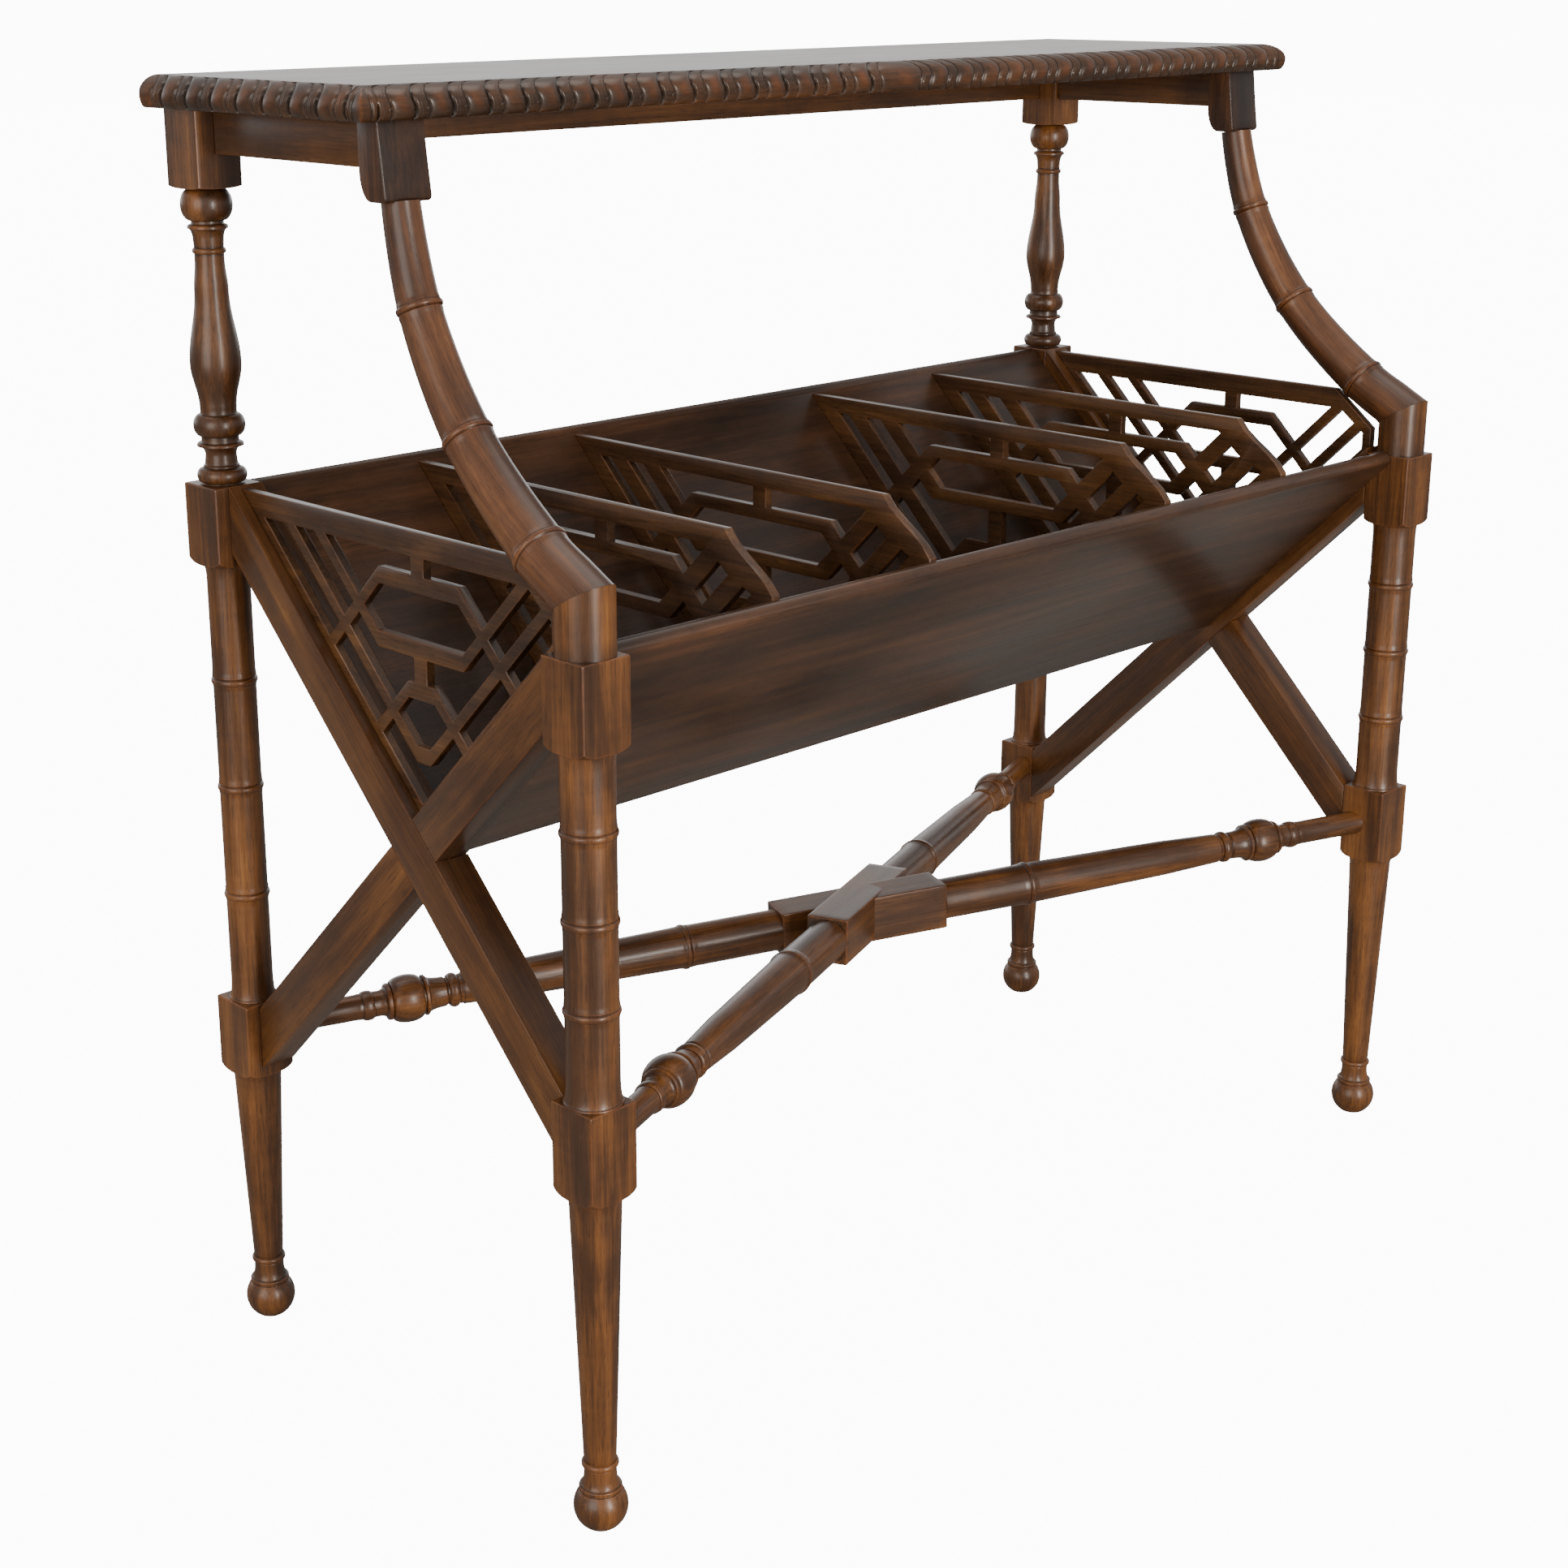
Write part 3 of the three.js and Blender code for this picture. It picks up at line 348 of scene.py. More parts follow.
def curvature_marks(radius: np.ndarray, height: np.ndarray) -> tuple[np.ndarray, np.ndarray]:
    """Finds crests and hollows along a turned profile from how fast it bends.

    The bend at a point is the change of the profile's direction per millimetre over its two neighbours.
    Outward bends over the least bend begin to count as worn, and inward ones get painted shade, which darkens
    the hollows as their shadow would.

    Args:
        radius: radii of the profile.
        height: heights of the profile, in the same order.

    Returns:
        Wear and painted shade from 0 to 1 for each point.
    """
    least, worn_span, shaded_span, soft = 0.12, 0.5, 0.6, 0.15
    step_r, step_z = np.diff(radius), np.diff(height)
    heading = np.unwrap(np.arctan2(step_r, step_z))
    length = np.hypot(step_r, step_z) + 1e-6
    bend = np.zeros_like(radius)
    bend[1:-1] = -np.diff(heading) / (0.5 * (length[1:] + length[:-1]) + soft)
    # inward bends: painted shade in the profile's hollows
    return climb(bend, least, worn_span), climb(-bend, least, shaded_span)


# Rings round an axis


@dataclass
class Rows:
    """A grid of rings round an axis, gathered from the bottom up, with one column per angle."""

    angle: np.ndarray
    parts: list = field(default_factory=list)

    def add(self, radius: np.ndarray, height: np.ndarray, wear: np.ndarray | float = 0.0,
            shade_and_seams: np.ndarray | float = 0.0) -> None:
        """Adds rings. Every value is spread to one row per ring and one column per angle.

        Args:
            radius: radii of the points, one row per ring.
            height: heights of the points.
            wear: how rubbed they are.
            shade_and_seams: how much painted shade darkens them, in hollows and creases.
        """
        shape = (len(radius), len(self.angle))
        self.parts.append([np.broadcast_to(data, shape) for data in (radius, height, wear, shade_and_seams)])

    def add_profile(self, profile: Profile, shift: float = 0.0) -> None:
        """Adds a turned outline: each of its points becomes a ring.

        Args:
            profile: the outline, from the bottom up.
            shift: what is added to its heights.
        """
        radius, height = profile.arrays()
        wear, shade_and_seams = curvature_marks(radius, height)
        self.add(radius[:, None], (height + shift)[:, None], wear[:, None], shade_and_seams[:, None])

    def stacked(self) -> list[np.ndarray]:
        """All rings as four grids: radius, height, wear and painted shade."""
        return [np.concatenate(grids, 0) for grids in zip(*self.parts)]


def ring_angles(uniform: int, half_u: float = 1.0, half_v: float = 1.0) -> np.ndarray:
    """Angles round a turning, with extra ones on both sides of each corner of a block.

    Args:
        uniform: how many evenly spaced angles there are.
        half_u: half the block's width across the first axis.
        half_v: half its width across the second axis.

    Returns:
        Sorted angles in radians.
    """
    lean = math.degrees(math.atan2(half_v, half_u))
    corners = np.array([lean, 180.0 - lean, 180.0 + lean, 360.0 - lean])
    beside = np.array([0.0, 0.5, 1.0, 1.7, 2.7])
    clearance = 3.2
    near = (corners[:, None] + np.append(beside, -beside[1:])).ravel()
    even = np.arange(uniform) * 360.0 / uniform
    gap = np.abs((even[:, None] - corners + 180.0) % 360.0 - 180.0).min(1)
    return np.radians(np.sort(np.append(even[gap > clearance], near)))


def square_outline(angle: np.ndarray, half_u: float, half_v: float) -> tuple[np.ndarray, np.ndarray]:
    """Outline of a square block with eased arrises, and its wear.

    The outline is the superellipse |cos/u|^p + |sin/v|^p = 1/r^p, whose high power p leaves the sides flat and
    rounds the arris over about a millimetre. Wear is 1 within a degree or two of a corner.

    Args:
        angle: directions in radians.
        half_u: half the width across the first axis.
        half_v: half the width across the second axis.

    Returns:
        Distance from the middle and wear from 0 to 1, one per direction.
    """
    power, worn, fade = 38.0, 1.15, 1.6
    side_u, side_v = np.abs(np.cos(angle)) / half_u, np.abs(np.sin(angle)) / half_v
    from_corner = np.abs(np.degrees(np.arctan2(side_v, side_u)) - 45.0)
    return (side_u ** power + side_v ** power) ** (-1.0 / power), np.clip(worn - from_corner / fade, 0, 1)


def rubbed_arris(bend: np.ndarray) -> np.ndarray:
    """Wear across an eased arris that turns by the given angles: most at its middle."""
    return 0.3 + 0.7 * np.sin(2 * bend)


@dataclass(frozen=True)
class Block:
    """A square block left on a turned post.

    Its lower corners are turned away: a quarter round climbs from the crease, at the shoulder radius, to the
    corners, which are whole from the arris height up. above is the radius of the turning that stands on it.
    """

    crease: float
    arris: float
    top: float
    shoulder: float
    above: float
    half: float = POST_HALF
    half_deep: float = POST_HALF
    ease: float = 1.1
    scallop_wear: float = 0.75

    def add_to(self, rows: Rows) -> None:
        """Adds the block's rings.

        Column by column the quarter round r = s + (c - s) sin(a), z = z0 + h (1 - cos(a)) is followed until it
        meets the square, so the scalloped line where they meet lies on one row of the grid.

        Args:
            rows: the grid that the rings join.
        """
        square, worn = square_outline(rows.angle, self.half, self.half_deep)
        corner = math.hypot(self.half, self.half_deep)
        meet = np.arcsin(np.clip((square - self.shoulder) / (corner - self.shoulder), 0.02, 1.0))
        share = np.linspace(0, 1, 9)[:, None]
        turn = share * meet
        radius = np.minimum(self.shoulder + (corner - self.shoulder) * np.sin(turn), square)
        height = self.crease + (self.arris - self.crease) * (1 - np.cos(turn))
        at_meet = share == 1.0
        # the lowest rows, in the crease where the shaft meets the quarter round, get painted shade
        rows.add(radius, height, np.where(at_meet, np.maximum(self.scallop_wear, worn), 0.0),
                 np.clip(1 - share * 4, 0, 1))
        start, end = height[-1], self.top - self.ease
        up = np.array([0.012, 0.03, 0.35, 0.7, 0.97, 1.0])[:, None]
        soft = np.where(up == up[0], 0.4, 0.0)
        rows.add(np.broadcast_to(square, (len(up), len(square))), start + (end - start) * up,
                 np.maximum(worn, soft))
        bend = QUARTER_STEPS[1:, None]
        rows.add(square - self.ease * (1 - np.cos(bend)), self.top - self.ease * (1 - np.sin(bend)),
                 rubbed_arris(bend))
        inward = np.array([0.06, 0.5, 0.94, 1.0])[:, None]
        # the rows where the turning above meets the block's top get painted shade in that crease
        rows.add((square - self.ease) * (1 - inward) + self.above * inward, self.top, 0.0,
                 climb(inward, 0.8, 0.2))


# The posts


@dataclass(frozen=True)
class Foot:
    """Ball foot with a ring and a bead over it, and the tapered leg above.

    rise is how far the ball's arc climbs past its widest ring, in degrees. sole_share is the radius of the
    sole's inner ring as a share of the flat.
    """

    ball: float = 18.1
    flat: float = 10.0
    sole_share: float = 0.7
    rise: float = 39.5
    leg: float = 16.8
    hollow: float = 10.0
    collar: Runs = (
        (13.5, 27.1, Shape.HOLLOW, 3), (14.2, 28.2, Shape.FULL, 3), (14.3, 29.2, Shape.LINE, 2),
        (13.6, 30.2, Shape.FULL, 4), (10.8, 40.5, Shape.HOLLOW, 10), (10.8, 43.5, Shape.LINE, 3),
        (10.6, 43.9, Shape.LINE, 1), (10.6, 48.5, Shape.BEAD, 12, 12.4), (10.8, 50.0, Shape.HOLLOW, 4))

    def profile(self, crease: float, shoulder: float) -> Profile:
        """Draws the foot and the leg up to the crease of the lower block.

        The ball is an arc from the flat it stands on, over its widest ring, to the collar.

        Args:
            crease: height of the crease.
            shoulder: radius at the crease.

        Returns:
            The outline.
        """
        begin = -math.acos(self.flat / self.ball)
        middle = -self.ball * math.sin(begin)
        bend = np.linspace(begin, math.radians(self.rise), 22)
        profile = Profile([self.flat * self.sole_share, *(self.ball * np.cos(bend))],
                          [0.0, *(middle + self.ball * np.sin(bend))])
        profile.follow(self.collar).to(self.leg, crease - self.hollow, Shape.LINE, 26)
        return profile.to(shoulder, crease, Shape.HOLLOW, 10)


@dataclass(frozen=True)
class BambooShaft:
    """Shaft with bamboo nodes that flares into the blocks at both ends.

    foot_step is how far the foot of the flare stands out at the block and a millimetre above it.
    """

    radius: float
    nodes: Triple
    flare: float = 16.0
    foot_step: Pair = (2.1, 1.9)
    node_lead: float = 8.0
    bulge: float = 1.3
    neck: float = 11.0

    def profile(self, lower: Block, upper: Block) -> Profile:
        """Draws the shaft from the top of one block to the crease of the next.

        Args:
            lower: the block it stands on.
            upper: the block it carries.

        Returns:
            The outline.
        """
        profile = Profile([self.radius + self.foot_step[0]], [lower.top])
        profile.to(self.radius + self.foot_step[1], lower.top + 1.0, Shape.LINE, 1)
        profile.to(self.radius, lower.top + self.flare, Shape.HOLLOW, 8)
        for node in self.nodes:
            profile.to(self.radius, node - self.node_lead, Shape.LINE, 5).node(node, self.bulge)
        profile.to(self.radius, upper.crease - self.neck, Shape.LINE, 5)
        return profile.to(upper.shoulder, upper.crease, Shape.HOLLOW, 9)


@dataclass
class Post:
    """What every post has: foot, leg, lower block, bamboo shaft and middle block."""

    side: Side
    kind: str
    lower: Block
    middle: Block
    shaft: BambooShaft
    seed: int
    foot: Foot = Foot()

    def build(self) -> bpy.types.Object:
        """Builds the post as one closed surface on the axis of its CAD node.

        A point at radius r, angle a and height z lies at (x + r cos a, y + r sin a, z).

        Returns:
            The post.
        """
        rows = Rows(ring_angles(ROUND_COLUMNS))
        rows.add_profile(self.foot.profile(self.lower.crease, self.lower.shoulder))
        self.lower.add_to(rows)
        rows.add_profile(self.shaft.profile(self.lower, self.middle))
        self.middle.add_to(rows)
        top = self.add_upper(rows)
        radius, height, wear, shade_and_seams = rows.stacked()
        across, deep = radius * np.cos(rows.angle), radius * np.sin(rows.angle)
        node = f"{self.side.value}_{self.kind}_post"
        low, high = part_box(node)
        x, y = ((low[k] + high[k]) / 2 / MM for k in (0, 1))
        surface = tube_surface(np.stack([across + x, deep + y, height], -1), [[x, y, 0], [x, y, top]],
                               np.stack([height, across, deep], -1), [[0, 0, 0], [top, 0, 0]], wear, shade_and_seams,
                               self.seed + self.side.sign)
        post = mesh_object(node + "_turned", surface)
        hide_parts(node)
        return post

    def add_upper(self, rows: Rows) -> float:
        """Adds the rings over the middle block.

        Args:
            rows: the grid that the rings join.

        Returns:
            Height of the point that closes the top.
        """
        raise NotImplementedError


@dataclass
class FrontPost(Post):
    """Front post, with a round stub over its middle block that ends in the elbow's mitre."""

    kind: str = "front"
    lower: Block = Block(238.5, 246.0, 302.0, 18.6, 19.4)
    middle: Block = Block(530.5, 536.5, 589.0, 18.4, ELBOW_RADIUS)
    shaft: BambooShaft = BambooShaft(17.2, (363.5, 422.0, 479.0))
    seed: int = 3

    def add_upper(self, rows: Rows) -> float:
        """Adds the stub up to the plane that halves the angle between it and the arm.

        With n the sum of the two unit directions, the plane is n . (p - elbow) = 0, so z = z_e - n_y y / n_z.

        Args:
            rows: the grid that the rings join.

        Returns:
            Height of the elbow.
        """
        reach = np.subtract(ARM_BEND, ELBOW)
        reach /= np.hypot(*reach)
        meet = ELBOW[1] - reach[0] * ELBOW_RADIUS * np.sin(rows.angle) / (1 + reach[1])
        share = np.array([0.0, 0.03, 0.3, 0.6, 0.85, 0.985, 1.0])[:, None]
        # painted shade in the crease at the stub's foot on the block, and a dark line along the mitre seam
        foot_shade, mitre_dirt = 0.8, 0.5
        rows.add(np.full_like(share, ELBOW_RADIUS), self.middle.top + (meet - self.middle.top) * share, 0.0,
                 np.clip(1 - share * 12, 0, 1) * foot_shade + (share == 1.0) * mitre_dirt)
        return ELBOW[1]


@dataclass
class RearPost(Post):
    """Rear post, with a baluster and a top block over its middle block.

    The baluster's table is in shares of its largest radius and of its length, from a foot of its own share.
    """

    kind: str = "rear"
    lower: Block = Block(201.0, 208.0, 258.0, 18.5, 17.0)
    middle: Block = Block(581.5, 588.5, 638.0, 16.8, 14.0)
    upper: Block = Block(836.5, 839.0, TOP_UNDERSIDE, 10.9, 6.0, 17.1, 18.8)
    shaft: BambooShaft = BambooShaft(15.0, (338.5, 419.5, 498.0))
    seed: int = 7
    baluster: float = 17.6
    baluster_foot_share: float = 0.8
    baluster_shares: Runs = (
        (0.78, 0.004, Shape.LINE, 1), (0.78, 0.052, Shape.BEAD, 16, 0.966),
        (0.70, 0.056, Shape.LINE, 1), (0.70, 0.062, Shape.LINE, 1),
        (0.63, 0.076, Shape.HOLLOW, 5), (0.60, 0.100, Shape.LINE, 3),
        (0.90, 0.130, Shape.HOLLOW, 9), (0.90, 0.136, Shape.LINE, 2),
        (0.74, 0.143, Shape.FULL, 4), (0.72, 0.164, Shape.HOLLOW, 3),
        (0.72, 0.240, Shape.BEAD, 20, 1.0),
        (0.70, 0.257, Shape.HOLLOW, 4), (0.71, 0.266, Shape.LINE, 2),
        (0.985, 0.415, Shape.EASE, 16), (0.655, 0.660, Shape.EASE, 18),
        (0.568, 0.763, Shape.EASE, 8), (0.565, 0.784, Shape.LINE, 2),
        (0.562, 0.803, Shape.BEAD, 8, 0.645),
        (0.585, 0.830, Shape.LINE, 3), (0.775, 0.868, Shape.HOLLOW, 8),
        (0.775, 0.874, Shape.LINE, 2), (0.64, 0.882, Shape.FULL, 4), (0.62, 0.893, Shape.HOLLOW, 3),
        (0.62, 1.0, Shape.BEAD, 20, 0.989))

    def add_upper(self, rows: Rows) -> float:
        """Adds the baluster and the top block.

        Args:
            rows: the grid that the rings join.

        Returns:
            Height of the top block's upper face.
        """
        start = self.middle.top
        profile = Profile([self.baluster * self.baluster_foot_share], [start])
        rows.add_profile(profile.follow(self.baluster_shares, wide=self.baluster, height=start,
                                        length=self.upper.crease - start))
        self.upper.add_to(rows)
        return self.upper.top


# The arms


@dataclass
class Arm:
    """Curved arm: a round bamboo shaft from the elbow up and back to a square head under the top.

    places are the nodes' places on the centre line in (Y, Z), with the head's underside before them and the
    elbow after. head_front holds the Y of the head's front at its top and bottom, and heel the reach and rise
    of its rounded lower rear corner. elbow_share is how far along the line it stops leaning in to the head.
    """

    side: Side
    places: tuple[Pair, ...] = ((-15.98, 840.0), (-33.56, 777.07), (-80.09, 703.94), ARM_BEND, ELBOW)
    upper: float = 12.2
    lower: float = ELBOW_RADIUS
    bulge: float = 1.35
    node_room: Pair = (8.5, 8.0)
    mitre_room: float = 15.5
    post_place: float = 443.7
    elbow_share: float = 0.868
    head_half: float = 18.0
    head_inset: float = 7.2
    head_top: float = TOP_UNDERSIDE
    head_bottom: float = 840.0
    head_front: Pair = (-18.3, -24.3)
    head_rear: float = 1.5
    head_ease: float = 1.1
    head_forward: float = 1.5
    toe: float = 3.0
    heel: Pair = (10.5, 19.5)
    # strength of the painted shade on the head's front face, under the top's overhang
    front_shade: float = 0.8
    seed: int = 11
    gap_steps: int = 80

    def centre_line(self) -> tuple[np.ndarray, np.ndarray, np.ndarray]:
        """Samples the centre line: a centripetal Catmull-Rom curve through the places.

        Between two places the curve is the cubic whose slopes at both ends come from the neighbours, each gap
        weighed by the square root of its length.

        Returns:
            Points and unit directions in (Y, Z), and the distance along the curve, from the head down.
        """
        spots = np.array(self.places)
        knots = np.vstack([spots[0] + [0.0, 2.0], spots, 2 * spots[-1] - spots[-2]])
        out = []
        for p0, p1, p2, p3 in zip(knots[:-3], knots[1:-2], knots[2:-1], knots[3:]):
            d0, d1, d2 = (math.sqrt(np.hypot(*(b - a))) for a, b in ((p0, p1), (p1, p2), (p2, p3)))
            t1 = ((p1 - p0) / d0 - (p2 - p0) / (d0 + d1) + (p2 - p1) / d1) * d1
            t2 = ((p2 - p1) / d1 - (p3 - p1) / (d1 + d2) + (p3 - p2) / d2) * d1
            t = np.linspace(0, 1, self.gap_steps, endpoint=False)[:, None]
            out.append((2 * t**3 - 3 * t**2 + 1) * p1 + (t**3 - 2 * t**2 + t) * t1
                       + (3 * t**2 - 2 * t**3) * p2 + (t**3 - t**2) * t2)
        line = np.vstack(out + [spots[-1:]])
        way = distances(line)
        heading = np.gradient(line, way, axis=0)
        return line, heading / np.linalg.norm(heading, axis=1, keepdims=True), way

    def shaft_profile(self, way: np.ndarray) -> Profile:
        """Radius against distance from the head, before the shaft's taper.

        Args:
            way: distances along the centre line.

        Returns:
            The outline, which stops short of the elbow.
        """
        end = way[-1] - self.mitre_room
        before, after = self.node_room
        profile = Profile([self.upper], [0.0])
        for stop in way[self.gap_steps:-1:self.gap_steps]:
            profile.to(self.upper, max(profile.height[-1] + 1.0, stop - before), Shape.LINE, 9)
            if stop + after < end:
                profile.node(stop, self.bulge)
        return profile.to(self.upper, end, Shape.LINE, 5)

    def shaft_surface(self) -> Surface:
        """Carries a circle along the centre line, swelling at the nodes, down to the elbow's mitre plane.

        A point is the centre plus r cos(a) along X plus r sin(a) square to the line. Towards the head the
        centre also leans in along X, evenly with the distance. The last ring runs on along the line until it
        lies in the mitre plane.

        Returns:
            The shaft, closed at both ends.
        """
        line, heading, way = self.centre_line()
        radius, along = self.shaft_profile(way).arrays()
        wear, shade_and_seams = curvature_marks(radius, along)
        radius = radius + (self.lower - self.upper) * along / way[-1]
        angle = np.linspace(0, 2 * np.pi, ROUND_COLUMNS, endpoint=False)
        centre, ahead = (np.stack([np.interp(along, way, path[:, k]) for k in (0, 1)], -1)
                         for path in (line, heading))
        ahead /= np.linalg.norm(ahead, axis=1, keepdims=True)
        square = np.stack([ahead[:, 1], -ahead[:, 0]], -1)
        deep = centre[:, None, :] + (radius[:, None] * np.sin(angle))[..., None] * square[:, None, :]
        lean = -self.side.sign * self.head_inset * (1 - np.minimum(along / way[-1] / self.elbow_share, 1))
        wide = radius[:, None] * np.cos(angle) + lean[:, None]
        grow = self.lower / radius[-1]
        last = self.on_mitre(centre[-1] + (deep[-1] - centre[-1]) * grow)
        near_share, near_step = 0.98, 0.3
        deep = np.concatenate([deep, (last * near_share + deep[-1] * (1 - near_share))[None], last[None]], 0)
        wide = np.vstack([wide, [radius[-1] * np.cos(angle) * grow] * 2])
        along = np.append(along, [way[-1] - near_step, way[-1]])
        grain = np.stack([np.broadcast_to(-along[:, None], wide.shape), wide,
                          np.broadcast_to(np.sin(angle) * self.upper, wide.shape)], -1)
        mitre_dirt = (0.1, 0.5)
        return tube_surface(np.concatenate([wide[..., None], deep], -1),
                            [[lean[0], *centre[0]], [0, *self.places[-1]]], grain,
                            [[0, 0, 0], [-way[-1], 0, 0]], np.append(wear, [0, 0])[:, None],
                            np.append(shade_and_seams, mitre_dirt)[:, None], self.seed + self.side.sign, reverse=True)

    def on_mitre(self, points: np.ndarray) -> np.ndarray:
        """Slides points along the arm until n . (p - elbow) = 0, with n halving the elbow's angle.

        Args:
            points: points in (Y, Z), one per row.

        Returns:
            The points in the mitre's plane.
        """
        elbow = np.array(self.places[-1])
        arm = self.places[-2] - elbow
        arm = arm / np.hypot(*arm)
        normal = arm + [0.0, 1.0]
        return points - ((points - elbow) @ normal / (arm @ normal))[:, None] * arm

    def head_surface(self) -> Surface:
        """Square head: an outline in (Y, Z) carried across X, with every arris eased.

        The outline leans forward and its lower rear corner is an ellipse's quarter. Across X the outline
        shrinks towards its middle by e (1 - cos) as it reaches each side.

        Returns:
            The head.
        """
        quarter = np.linspace(0, math.pi / 2, 9)
        front, chin = self.head_front
        reach, rise = self.heel
        toe = np.stack([chin + self.toe * (1 - np.cos(quarter)),
                        self.head_bottom + self.toe * (1 - np.sin(quarter))], -1)
        heel = np.stack([self.head_rear - reach * (1 - np.sin(quarter)),
                         self.head_bottom + rise * (1 - np.cos(quarter))], -1)
        run = np.linspace(0, 1, 7)[:, None]
        lean = np.array([[front, self.head_top]]) * (1 - run) + toe[:1] * run
        back = heel[-1:] * (1 - run) + np.array([[self.head_rear, self.head_top]]) * run
        loop = np.vstack([lean, toe[1:], heel, back[1:]])
        middle = np.array([(front + self.head_rear) / 2 - self.head_forward,
                           (self.head_top + self.head_bottom) / 2])
        fall = self.head_ease * (1 - np.cos(QUARTER_STEPS))
        across = np.append(fall - self.head_half, self.head_half - fall[::-1])
        shrink = self.head_ease * (1 - np.sin(QUARTER_STEPS))
        shrink = np.append(shrink, shrink[::-1])
        away = loop - middle
        deep = loop - shrink[:, None, None] * (away / np.linalg.norm(away, axis=1, keepdims=True))
        inset = -self.side.sign * self.head_inset
        wide = np.broadcast_to(across[:, None], deep.shape[:2]) + inset
        grid = np.concatenate([wide[..., None], deep], -1)
        poles = np.array([[inset - self.head_half, *middle], [inset + self.head_half, *middle]])
        # painted shade over the front face and the front half of the toe, under the top's overhang
        dark = np.zeros(wide.shape)
        dark[1:-1, :len(lean) + len(toe) // 2] = self.front_shade
        crest = 0.3 * self.head_ease
        return tube_surface(grid, poles, grid[..., [2, 0, 1]], poles[:, [2, 0, 1]],
                            tent(shrink, crest, crest)[:, None], dark, self.seed + self.side.sign)

    def build(self) -> bpy.types.Object:
        """Joins the head and the shaft into one piece on the axis of its CAD node.

        Returns:
            The arm.
        """
        node = f"{self.side.value}_arm"
        whole = self.head_surface().joined(self.shaft_surface())
        whole.points = whole.points + [self.side.sign * self.post_place, REAR_SHIFT, 0.0]
        arm = mesh_object(node + "_turned", whole)
        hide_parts(node)
        return arm


# The cross stretchers


